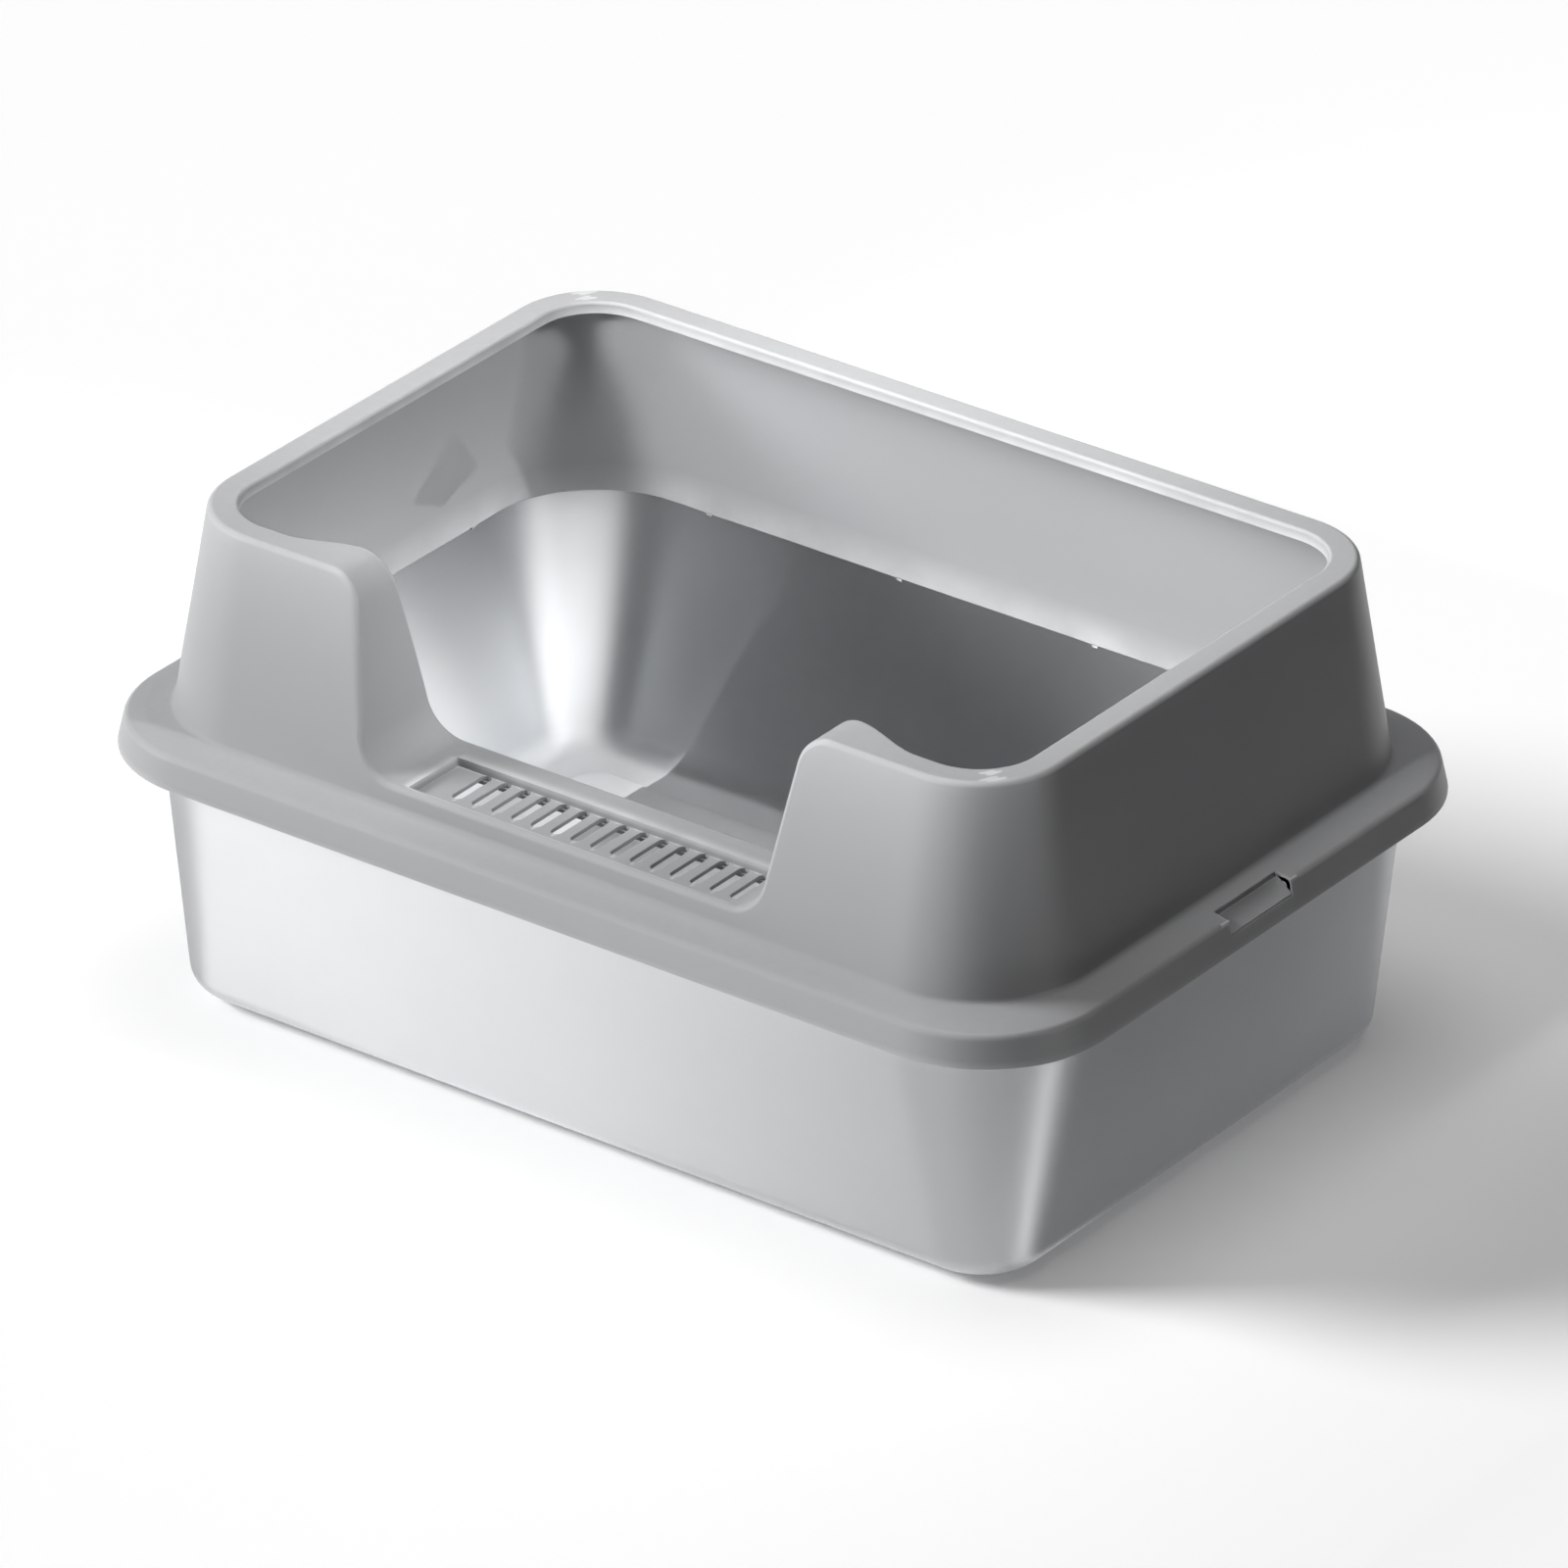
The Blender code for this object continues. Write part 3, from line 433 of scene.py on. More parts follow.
    # the border's face; the lines fall on the recess's walls and ledge at the sill
    grateFront = grateLow.y - gap + wallOutside(sillZ)
    grateBack = grateHigh.y + gap + wallOutside(sillZ)
    step, ledge = entry["recessStep"], entry["ledge"]
    lines = np.array([grateFront - step, grateFront, grateFront + step, grateFront + ledge,
                      *(grateFront + further for further in entry["recessLines"]), grateBack - ledge,
                      grateBack - step, grateBack, grateBack + step,
                      *(grateBack + further for further in entry["behindLines"])])
    span = entry["depthSill"] - entry["innerRoundSill"] - edgeRound
    firstFace = len(outerLines)
    left, right = grateLow.x - gap, grateHigh.x + gap
    atSill = np.abs(station["edgeZ"] - sillZ) < 1e-6
    fromLeft = smoothStep((station["edge"] - left) / (2 * step) + 0.5)
    fromRight = smoothStep((right - station["edge"]) / (2 * step) + 0.5)
    across = np.minimum(fromLeft, fromRight)
    for line in lines:
        share = (line - edgeRound) / span
        drop = entry["recessDrop"] * atSill * across * min(
            float(smoothStep((line - grateFront) / (2 * step) + 0.5)),
            float(smoothStep((grateBack - line) / (2 * step) + 0.5)))
        inwards = edgeRound + share * (depth - innerRound - edgeRound)
        outerLines.append(borderPoint(inwards, drop))
        inwards = wallAcross + insideRound + share * (depth - wall - 2 * insideRound - wallAcross)
        innerLines.append(borderPoint(inwards, wall + drop))
    holeColumns = (firstFace + 3, firstFace + 7)
    outerLines += bent(borderPoint(depth - innerRound, 0.0), borderPoint(depth, 0.0),
                       borderPoint(depth, innerRound), 7)
    innerLines += bent(borderPoint(depth - wall - insideRound, wall), borderPoint(depth - wall, wall),
                       borderPoint(depth - wall, wall + insideRound), 7)
    outerLines.append(borderPoint(depth, lip - 0.0004))
    innerLines.append(borderPoint(depth - wall, np.maximum(lip - 0.0004, wall + insideRound + 0.0001)))
    outerLines.append(borderPoint(depth - 0.0005, lip))
    innerLines.append(borderPoint(depth - wall + 0.0005, np.maximum(lip, wall + insideRound + 0.0003)))

    outer = np.concatenate(outerLines, axis=1)
    inner = np.concatenate(innerLines, axis=1)
    rows, columns = outer.shape[:2]
    keep = np.ones((rows, columns - 1), bool)
    turn, y, x = station["turn"][:, 0], station["y"][:, 0], station["base"][:, 0]
    half = guard["windowHalf"]
    onSide = (turn == 0.0) | (turn == math.pi)
    nextY = np.roll(y, -1)
    window = onSide & np.roll(onSide, -1) & (np.maximum(np.abs(y), np.abs(nextY)) < half + 1e-6)
    keep[np.ix_(window, range(*windowColumns))] = False
    nextX = np.roll(x, -1)
    atFront = turn == -math.pi / 2
    pastLeft = np.minimum(x, nextX) > left + ledge - 1e-5
    beforeRight = np.maximum(x, nextX) < right - ledge + 1e-5
    hole = atFront & pastLeft & beforeRight
    keep[np.ix_(hole, range(*holeColumns))] = False
    return outer, inner, keep


print("guard")
outer, inner, keep = guardMesh()
points, faces, holeEdge = thickSheet(outer, inner, keep)
blockPoints = [points]
blocks = []
ribs = {
    "width": 0.003,
    "long": (-0.155, -0.052, 0.052, 0.155),
    "short": (-0.085, 0.085),
    "rooted": 0.0005,           # how far a rib reaches into the wall
    "shortOf": 0.0022,         # how far it stops from the pan's edge
    "boss": 0.005,
    "bossEnd": 0.0030,          # from a boss's end to the skirt's foot
    "shelf": 0.0012,
    "shelfReach": 0.0010,
    "shelfPast": 0.002,
}
ribLow, ribHigh = panRimZ + gap, flangeZ
ribIn, ribOut = wallFoot - wallAcross + ribs["rooted"], panHigh.y - ribs["shortOf"]
halfRib = ribs["width"] / 2
shelfOut = longer + flangeEdge - guard["windowDepth"] + ribs["shelfReach"]
shelfHalf = guard["windowHalf"] + ribs["shelfPast"]


def addBlock(low, high):
    blocks.append(blockFaces(blockPoints, low, high))


for side in (-1, 1):
    for x in ribs["long"]:
        low, high = sorted((side * ribIn, side * ribOut))
        addBlock((x - halfRib, low, ribLow), (x + halfRib, high, ribHigh))
    for y in ribs["short"]:
        low, high = sorted((side * (ribIn + longer), side * (ribOut + longer)))
        addBlock((low, y - halfRib, ribLow), (high, y + halfRib, ribHigh))
    for end in (-1, 1):
        low, high = sorted((side * (ribIn + longer), side * (skirtFoot + longer - ribs["bossEnd"])))
        near, far = sorted((end * guard["windowHalf"], end * (guard["windowHalf"] + ribs["boss"])))
        addBlock((low, near, ribLow), (high, far, ribHigh))
    low, high = sorted((side * (ribIn + longer), side * shelfOut))
    addBlock((low, -shelfHalf, ribLow), (high, shelfHalf, ribLow + ribs["shelf"]))
allFaces = np.concatenate([faces] + blocks)
splashGuard = makeObject("guardMoulding", np.concatenate(blockPoints), allFaces.tolist())


def weighWindowEdges(piece, places):
    # marks the edges that join two of these places, so that only they are bevelled
    mesh = piece.data
    points = np.empty(len(mesh.vertices) * 3)
    mesh.vertices.foreach_get("co", points)
    # a place as one whole number, so that the two lists compare at once
    keys = [np.round(spots.reshape(-1, 3) * 1e5).astype(np.int64) @ np.array([1, 2 ** 20, 2 ** 40])
            for spots in (points, places)]
    onRim = np.isin(keys[0], keys[1])
    ends = np.empty(len(mesh.edges) * 2, int)
    mesh.edges.foreach_get("vertices", ends)
    weight = mesh.attributes.new("bevel_weight_edge", "FLOAT", "EDGE")
    weight.data.foreach_set("value", onRim[ends.reshape(-1, 2)].all(axis=1).astype(np.float32))


rimPlaces = outer[holeEdge]
weighWindowEdges(splashGuard, rimPlaces[np.abs(rimPlaces[:, 0]) > flangeEdge + longer - 0.02])
softEdge = splashGuard.modifiers.new("windowBevel", "BEVEL")
softEdge.width = guard["windowBevel"]
softEdge.segments = 3
softEdge.limit_method = "WEIGHT"
softEdge.use_clamp_overlap = False
print("guard:", len(splashGuard.data.polygons), "faces")


pan = {
    "sheet": 0.0010,
    "draft": 0.1480,            # how far a wall leans out for each unit of height
    "cornerTop": 0.0640,        # plan radius at the top of the wall and where it meets the floor
    "cornerFoot": 0.0300,
    "leastCorner": 0.0120,
    "floorBend": 0.0140,
    "rim": 0.0063,
    "rimCorner": 0.0540,
    "rimBend": 0.0022,
    "hem": 0.0030,
    "hemBend": 0.0006,
    "channel": 0.0170,          # gutter round the raised floor
    "rise": 0.0030,
    "step": 0.0040,
    "crown": 0.00035,           # how far the flat sides belly out
}


def panProfile():
    # underside of the sheet from the raised floor to the hem, as (half-width, height)
    floorZ = panLow.z
    wallTop = panHigh.y - pan["rim"]
    lean = math.atan(pan["draft"])

    def wallAt(z):
        return wallTop - pan["draft"] * (skirtZ - z)

    bend, rimBend = pan["floorBend"], pan["rimBend"]
    centreZ = floorZ + bend
    centre = wallAt(centreZ - bend * math.sin(lean)) - bend * math.cos(lean)
    rimLow = panRimZ - pan["sheet"]
    rimCentreZ = rimLow - rimBend
    rimCentre = wallAt(rimCentreZ + rimBend * math.sin(lean)) + rimBend * math.cos(lean)
    hem = panHigh.y - pan["sheet"]
    raised = floorZ + pan["rise"]
    inner = centre - pan["channel"]
    run = np.linspace(0.0, 1.0, 12)
    step = np.stack([inner + pan["step"] * run, raised - pan["rise"] * smoothStep(run)], axis=1)
    turn = np.linspace(-math.pi / 2, -lean, 18)
    floorArc = np.stack([centre + bend * np.cos(turn), centreZ + bend * np.sin(turn)], axis=1)
    turn = np.linspace(math.pi - lean, math.pi / 2, 9)
    rimArc = np.stack([rimCentre + rimBend * np.cos(turn), rimCentreZ + rimBend * np.sin(turn)], axis=1)
    share = np.linspace(0.0, 1.0, 14)[1:-1, None]
    side = floorArc[-1] + (rimArc[0] - floorArc[-1]) * share
    hemBend = pan["hemBend"]
    hemArc = roundCorner((hem - hemBend, rimLow), (hem, rimLow), (hem, rimLow - hemBend), 6)
    parts = [[(inner - pan["step"], raised)], step, floorArc, side, rimArc, hemArc,
             [(hem, panRimZ - pan["hem"])]]
    return np.concatenate(parts), wallAt


def offsetLine(line, distance):
    # the open line moved to its left, mitred at each point
    way = np.diff(line, axis=0)
    way /= np.linalg.norm(way, axis=1, keepdims=True)
    before, after = np.vstack([way[:1], way]), np.vstack([way, way[-1:]])
    left = np.stack([-before[:, 1] - after[:, 1], before[:, 0] + after[:, 0]], axis=1)
    return line + left * distance / (1.0 + (before * after).sum(axis=1, keepdims=True))


def plainStations(cornerSteps, sideSteps):
    # once round a rounded rectangle: each corner's arc, then the places along the side after it
    arc = np.linspace(0.0, math.pi / 2, cornerSteps + 1)
    share = np.linspace(0.0, 1.0, sideSteps + 1)[1:-1]
    corners = ((1, -1), (1, 1), (-1, 1), (-1, -1))
    x, y, turn = [], [], []
    for index, (thisX, thisY) in enumerate(corners):
        nextX, nextY = corners[(index + 1) % 4]
        start = (index - 1) * math.pi / 2
        x += [np.full(len(arc), thisX * refX), (thisX + (nextX - thisX) * share) * refX]
        y += [np.full(len(arc), thisY * refY), (thisY + (nextY - thisY) * share) * refY]
        turn += [start + arc, np.full(len(share), start + math.pi / 2)]
    return np.concatenate(x), np.concatenate(y), np.concatenate(turn)


def panMesh():
    lower, wallAt = panProfile()
    upper = offsetLine(lower, pan["sheet"])
    x, y, turn = (values[:, None] for values in plainStations(24, 12))
    place = {"x": x, "y": y, "turn": turn, "fixedX": 0.0, "fixedY": 0.0}
    belly = np.clip(np.cos(math.pi / 2 * x / refX), 0, 1) * (np.abs(np.sin(turn)) > 0.999)
    belly = belly + np.clip(np.cos(math.pi / 2 * y / refY), 0, 1) * (np.abs(np.cos(turn)) > 0.999)
    surfaces = []
    for line in (lower, upper):
        w, z = line[:, 0], line[:, 1]
        share = np.clip((z - panLow.z) / (skirtZ - panLow.z), 0.0, 1.0)
        radius = pan["cornerFoot"] + (pan["cornerTop"] - pan["cornerFoot"]) * share
        beyond = w - wallAt(z)
        beyond = np.where(beyond > 0, beyond * (pan["rimCorner"] - pan["cornerTop"]) / pan["rim"], beyond)
        radius = np.maximum(radius + beyond, pan["leastCorner"])
        onWall = smoothStep((z - panLow.z - 0.018) / 0.030) * smoothStep((skirtZ - 0.006 - z) / 0.030)
        surfaces.append(ringPoint(w + pan["crown"] * belly * onWall, radius, z, place))
    outer, inner = surfaces
    keep = np.ones((outer.shape[0], outer.shape[1] - 1), bool)
    points, faces, _ = thickSheet(outer, inner, keep, capped=True)
    rows, columns = outer.shape[:2]
    ring = np.arange(rows) * columns
    return points, faces.tolist() + [ring[::-1].tolist(), (ring + rows * columns).tolist()]


print("pan")
steelPan = makeObject("drawnPan", *panMesh())

grate = {
    "count": 15,
    "pitch": 0.01036,
    "slotWidth": 0.0052,
    "slotLength": 0.0240,
    "endMargin": 0.0052,        # from the recess's right end to the middle of the last slot
    "setback": 0.0085,          # from the grate's front edge to the slots
    "round": 0.00075,
}


def grateMesh():
    # each slot's cell is a band between a rectangle and the slot's rounded outline, closed in turn
    low, high, radius = grateLow, grateHigh, grate["slotWidth"] / 2
    near = low.y + grate["setback"] + radius
    far = low.y + grate["setback"] + grate["slotLength"] - radius
    turn = np.linspace(math.pi, 2 * math.pi, 9)
    up = np.linspace(near, far, 6)[1:-1]
    centre = high.x + gap - grate["endMargin"] - grate["pitch"] * np.arange(grate["count"])
    half = grate["pitch"] / 2
    left, right = centre - half, np.where(np.arange(grate["count"]) == 0, high.x, centre + half)

    def ends(middle, edge):
        # nine places from the left edge round the cell's corner to the right edge
        x = np.array([0, 0, 0, 0.25, 0.5, 0.75, 1, 1, 1])
        y = np.array([middle, (middle + edge) / 2, edge, edge, edge, edge, edge, (middle + edge) / 2, middle])
        return x, y

    slotX = np.concatenate([radius * np.cos(turn), np.full(4, radius), -radius * np.cos(turn),
                            np.full(4, -radius)])
    slotY = np.concatenate([near + radius * np.sin(turn), up, far - radius * np.sin(turn), up[::-1]])
    lowX, lowY = ends(near, low.y)
    highX, highY = ends(far, high.y)
    cellX = np.concatenate([lowX, np.ones(4), highX[::-1], np.zeros(4)])
    cellY = np.concatenate([lowY, up, highY, up[::-1]])
    wideX = left[:, None] + (right - left)[:, None] * cellX
    slot = np.stack(np.broadcast_arrays(centre[:, None] + slotX, slotY, high.z), axis=-1)
    cell = np.stack(np.broadcast_arrays(wideX, cellY, high.z), axis=-1)
    middle = (slot * 2 + cell) / 3
    grid = np.stack([cell, middle, slot], axis=2)
    keep = np.ones((grid.shape[1], 2), bool)
    points, faces = [grid.reshape(-1, 3)], []
    for index in range(grate["count"]):
        faces.append(sheetFaces(grid.shape[1], 3, keep, index * grid.shape[1] * 3, False))
    edgeY = np.concatenate([[low.y, (low.y + near) / 2, near], up, [far, (far + high.y) / 2, high.y]])
    blankX = np.linspace(low.x, left[-1], 5)
    blank = np.stack(np.broadcast_arrays(blankX[:, None], edgeY[None, :], high.z), axis=-1)
    whole = np.ones((4, len(edgeY) - 1), bool)
    faces.append(sheetFaces(5, len(edgeY), whole, grid.size // 3, False, closed=False))
    points.append(blank.reshape(-1, 3))
    return np.concatenate(points), np.concatenate(faces).tolist()


print("grate")
points, faces = grateMesh()
grateTop = makeObject("slottedGrate", points, faces)
if sum(face.normal.z * face.area for face in grateTop.data.polygons) < 0:
    grateTop.data.flip_normals()
solid = grateTop.modifiers.new("thickness", "SOLIDIFY")
solid.thickness = grateHigh.z - grateLow.z
solid.offset = -1.0
rounded = grateTop.modifiers.new("rounding", "BEVEL")
rounded.width = grate["round"]
rounded.segments = 3
rounded.limit_method = "ANGLE"
rounded.angle_limit = math.radians(60)

latch = {
    "pad": 0.0016,
    "tip": 0.0006,
    "arm": 0.0014,
    "hollow": 0.0012,
    "barrelWall": 0.0008,
    "hemClear": 0.0005,
    "round": 0.00030,
}


def latchMesh(side):
    pinX, pinZ = (pinLow.x + pinHigh.x) / 2, (pinLow.z + pinHigh.z) / 2
    barrel = (pinHigh.x - pinLow.x) / 2 + gap + latch["barrelWall"]
    swing = math.radians(next(j for j in frame["joints"] if j["name"] == "latch_right_press")["range_deg"][1])
    windowBack = flangeEdge - guard["windowDepth"]
    under = wallFootZ - wall - guard["flangeFall"] * (windowBack - wallFoot) / guard["flangeDepth"]
    backZ = under + wall - latch["pad"]
    back = windowBack + longer + (backZ - pinZ) * math.sin(swing) + gap
    tipX, tipZ = latchHigh.x, flangeZ - guard["windowDrop"] + gap
    armIn = panHigh.y + longer + latch["hemClear"]
    armOut, toeZ = armIn + latch["arm"], latchLow.z
    tabX, tabZ = latchLow.x, under - gap
    half = latchHigh.y
    y = np.array([-1, -0.985, -0.95, -0.9, -0.8, -0.6, -0.3, 0, 0.3, 0.6, 0.8, 0.9, 0.95, 0.985, 1]) * half
    share = np.linspace(0.0, 1.0, 17)
    ramp = np.array([back, backZ]) + share[:, None] * np.array([tipX - back, tipZ + latch["tip"] - backZ])
    normal = np.array([tipZ + latch["tip"] - backZ, back - tipX])
    normal /= np.linalg.norm(normal)
    turn = np.radians(np.linspace(0, -235, 20))
    below = [(tipX, tipZ), (armOut, tipZ), (armOut, toeZ), (armIn, toeZ), (armIn, pinZ - 0.0012)]
    below += [(pinX + barrel * math.cos(a), pinZ + barrel * math.sin(a)) for a in turn[1:]]
    below += [(back, tabZ - latch["pad"]), (tabX, tabZ - latch["pad"]), (tabX, tabZ), (back, tabZ)]
    below = np.array(below)
    # hollow: a parabola across the pad, fading out at both ends
    sink = 4 * share * (1 - share) * latch["hollow"]
    fade = 1 - np.abs(y / half) ** 8
    top = ramp[None] + normal * (sink[None, :] * fade[:, None])[..., None]
    section = np.concatenate([top, np.broadcast_to(below, (len(y),) + below.shape)], axis=1)
    points = np.stack([side * section[..., 0], np.broadcast_to(y[:, None], section.shape[:2]),
                       section[..., 1]], axis=-1)
    rows, columns = section.shape[:2]
    row, column = np.nonzero(np.ones((rows - 1, columns), bool))
    after = (column + 1) % columns
    faces = np.stack([row * columns + column, row * columns + after,
                      (row + 1) * columns + after, (row + 1) * columns + column], axis=1)
    ends = [list(range(columns)), list(range((rows - 1) * columns, rows * columns))[::-1]]
    return points.reshape(-1, 3), faces.tolist() + ends


print("latches")
latches = {}
for side, word in ((-1, "left"), (1, "right")):
    latches[word] = makeObject("thumbLatch_" + word, *latchMesh(side), smoothAngle=30.0)
    rounded = latches[word].modifiers.new("rounding", "BEVEL")
    rounded.width = latch["round"]
    rounded.segments = 2
    rounded.limit_method = "ANGLE"
    rounded.angle_limit = math.radians(50)
    rounded.use_clamp_overlap = True


# shader node groups, each built once
def newGroup(name, inputs, outputs):
    group = bpy.data.node_groups.new(name, "ShaderNodeTree")
    for label, value in inputs.items():
        socket = group.interface.new_socket(label, in_out="INPUT", socket_type="NodeSocketFloat")
        socket.default_value = value
    for label in outputs:
        group.interface.new_socket(label, in_out="OUTPUT", socket_type="NodeSocketFloat")
    return group, group.nodes.new("NodeGroupInput"), group.nodes.new("NodeGroupOutput")


def put(tree, kind, links=None, **settings):
    # a node with its settings, and its inputs given as numbers or as other nodes' sockets
    node = tree.nodes.new("ShaderNode" + kind)
    for key, value in settings.items():
        setattr(node, key, value)
    for key, value in (links or {}).items():
        if isinstance(value, bpy.types.NodeSocket):
            tree.links.new(value, node.inputs[key])
        else:
            node.inputs[key].default_value = value
    return node


def fineGrainGroup():
    # spark-eroded texture of a moulding: two sizes of noise added together
    group, given, out = newGroup("fineGrain", {"Scale": 1800.0, "Coarse": 0.4}, ["Height", "Mask"])
    place = put(group, "TexCoord").outputs["Object"]
    fine = put(group, "TexNoise", {
        "Vector": place, "Scale": given.outputs["Scale"], "Detail": 2.0, "Roughness": 0.6})
    quarter = put(group, "Math", {0: given.outputs["Scale"], 1: 0.23}, operation="MULTIPLY")
    coarse = put(group, "TexNoise", {"Vector": place, "Scale": quarter.outputs[0], "Detail": 3.0})
    mixed = put(group, "Math", {
        0: coarse.outputs["Fac"], 1: given.outputs["Coarse"], 2: fine.outputs["Fac"]},
        operation="MULTIPLY_ADD")
    group.links.new(mixed.outputs[0], out.inputs["Height"])
    group.links.new(fine.outputs["Fac"], out.inputs["Mask"])
    return group


def patchGroup():
    # slow change over the surface, from 0 to 1
    group, given, out = newGroup("slowPatches", {"Scale": 9.0, "Contrast": 1.6}, ["Mask"])
    place = put(group, "TexCoord").outputs["Object"]
    noise = put(group, "TexNoise", {
        "Vector": place, "Scale": given.outputs["Scale"], "Detail": 5.0, "Roughness": 0.55})
    centred = put(group, "Math", {0: noise.outputs["Fac"], 1: 0.5}, operation="SUBTRACT")
    spread = put(group, "Math", {
        0: centred.outputs[0], 1: given.outputs["Contrast"], 2: 0.5},
        operation="MULTIPLY_ADD", use_clamp=True)
    group.links.new(spread.outputs[0], out.inputs["Mask"])
    return group


def edgeWearAndHighlightGroup():
    # 1 on convex edges, broken up by noise: a painted highlight along the plastic's edges, wear on the
    #                                        rubber's
    group, given, out = newGroup("edgeWearAndHighlight", {"Start": 0.53, "Width": 0.10, "Breakup": 60.0}, ["Mask"])
    sharp = put(group, "NewGeometry").outputs["Pointiness"]
    above = put(group, "Math", {0: sharp, 1: given.outputs["Start"]}, operation="SUBTRACT")
    mask = put(group, "Math", {0: above.outputs[0], 1: given.outputs["Width"]},
               operation="DIVIDE", use_clamp=True)
    place = put(group, "TexCoord").outputs["Object"]
    noise = put(group, "TexNoise", {"Vector": place, "Scale": given.outputs["Breakup"], "Detail": 3.0})
    broken = put(group, "Math", {0: mask.outputs[0], 1: noise.outputs["Fac"]},
                 operation="MULTIPLY", use_clamp=True)
    group.links.new(broken.outputs[0], out.inputs["Mask"])
    return group


def dustGroup():
    # fine dust on faces that look up
    group, given, out = newGroup("settledDust", {"Amount": 0.2, "Scale": 220.0}, ["Mask"])
    up = put(group, "SeparateXYZ", {0: put(group, "NewGeometry").outputs["Normal"]}).outputs["Z"]
    facing = put(group, "Math", {0: up, 1: 0.5}, operation="SUBTRACT", use_clamp=True)
    place = put(group, "TexCoord").outputs["Object"]
    noise = put(group, "TexNoise", {"Vector": place, "Scale": given.outputs["Scale"], "Detail": 4.0})
    flecks = put(group, "Math", {0: facing.outputs[0], 1: noise.outputs["Fac"]}, operation="MULTIPLY")
    mask = put(group, "Math", {0: flecks.outputs[0], 1: given.outputs["Amount"]},
               operation="MULTIPLY", use_clamp=True)
    group.links.new(mask.outputs[0], out.inputs["Mask"])
    return group


def rollingLinesGroup():
    # long fine lines left by rolling and drawing: noise squeezed along the height
    group, given, out = newGroup("rollingLines", {"Fineness": 2600.0, "Length": 14.0}, ["Height"])
    place = put(group, "TexCoord").outputs["Object"]
    scale = put(group, "CombineXYZ", {
        "X": given.outputs["Length"], "Y": given.outputs["Length"], "Z": given.outputs["Fineness"]})
    squeezed = put(group, "VectorMath", {0: place, 1: scale.outputs[0]}, operation="MULTIPLY")
    noise = put(group, "TexNoise", {"Vector": squeezed.outputs[0], "Scale": 1.0, "Detail": 2.0})
    group.links.new(noise.outputs["Fac"], out.inputs["Height"])
    return group


print("materials")
grainGroup, slowGroup, wearAndHighlightGroup = fineGrainGroup(), patchGroup(), edgeWearAndHighlightGroup()
settledGroup, linesGroup = dustGroup(), rollingLinesGroup()


def placed(tree, group, **values):
    node = tree.nodes.new("ShaderNodeGroup")
    node.node_tree = group
    for key, value in values.items():
        node.inputs[key].default_value = value
    return node


def mixColour(tree, factor, first, second):
    node = tree.nodes.new("ShaderNodeMix")
    node.data_type = "RGBA"
    tree.links.new(factor, node.inputs[0])
    for index, value in ((6, first), (7, second)):
        if isinstance(value, bpy.types.NodeSocket):
            tree.links.new(value, node.inputs[index])
        else:
            node.inputs[index].default_value = (*value, 1.0)
    return node.outputs[2]


def ranged(tree, factor, low, high):
    return put(tree, "MapRange", {"Value": factor, "To Min": low, "To Max": high}).outputs["Result"]


def newMaterial(name):
    made = bpy.data.materials.new(name)
    made.use_nodes = True
    return made, made.node_tree, made.node_tree.nodes["Principled BSDF"]


def mouldedPlastic():
    made, tree, shader = newMaterial("greyMoulding")
    slow = placed(tree, slowGroup, Scale=7.0, Contrast=1.4).outputs["Mask"]
    grain = placed(tree, grainGroup, Scale=2100.0, Coarse=0.5)
    # painted highlight: a lighter colour on the convex edges stands in for the light they catch
    wearAndHighlight = placed(tree, wearAndHighlightGroup, Start=0.512, Width=0.035, Breakup=35.0).outputs["Mask"]
    dust = placed(tree, settledGroup, Amount=0.35, Scale=260.0).outputs["Mask"]
    colour = mixColour(tree, slow, (0.325, 0.330, 0.338), (0.352, 0.356, 0.362))
    colour = mixColour(tree, wearAndHighlight, colour, (0.66, 0.665, 0.67))
    colour = mixColour(tree, dust, colour, (0.55, 0.545, 0.53))
    tree.links.new(colour, shader.inputs["Base Color"])
    tree.links.new(ranged(tree, slow, 0.40, 0.47), shader.inputs["Roughness"])
    bump = put(tree, "Bump", {"Height": grain.outputs["Height"], "Strength": 0.16, "Distance": 0.00012})
    tree.links.new(bump.outputs["Normal"], shader.inputs["Normal"])
    return made


def drawnSteel(name, fineness, bumpStrength, low, high, rotation=0.0):
    made, tree, shader = newMaterial(name)
    slow = placed(tree, slowGroup, Scale=11.0, Contrast=1.5).outputs["Mask"]
    lines = placed(tree, linesGroup, Fineness=fineness).outputs["Height"]
    dust = placed(tree, settledGroup, Amount=0.20, Scale=300.0).outputs["Mask"]
    colour = mixColour(tree, slow, (0.70, 0.71, 0.725), (0.76, 0.77, 0.78))
    colour = mixColour(tree, dust, colour, (0.60, 0.60, 0.60))
    tree.links.new(colour, shader.inputs["Base Color"])
    shader.inputs["Metallic"].default_value = 1.0
    shader.inputs["Anisotropic"].default_value = 0.9
    shader.inputs["Anisotropic Rotation"].default_value = rotation
    shine = put(tree, "Math", {0: lines, 1: 0.06, 2: ranged(tree, slow, low, high)},
                operation="MULTIPLY_ADD")
    tree.links.new(shine.outputs[0], shader.inputs["Roughness"])
    bump = put(tree, "Bump", {"Height": lines, "Strength": bumpStrength, "Distance": 0.00005})
    tree.links.new(bump.outputs["Normal"], shader.inputs["Normal"])
    return made


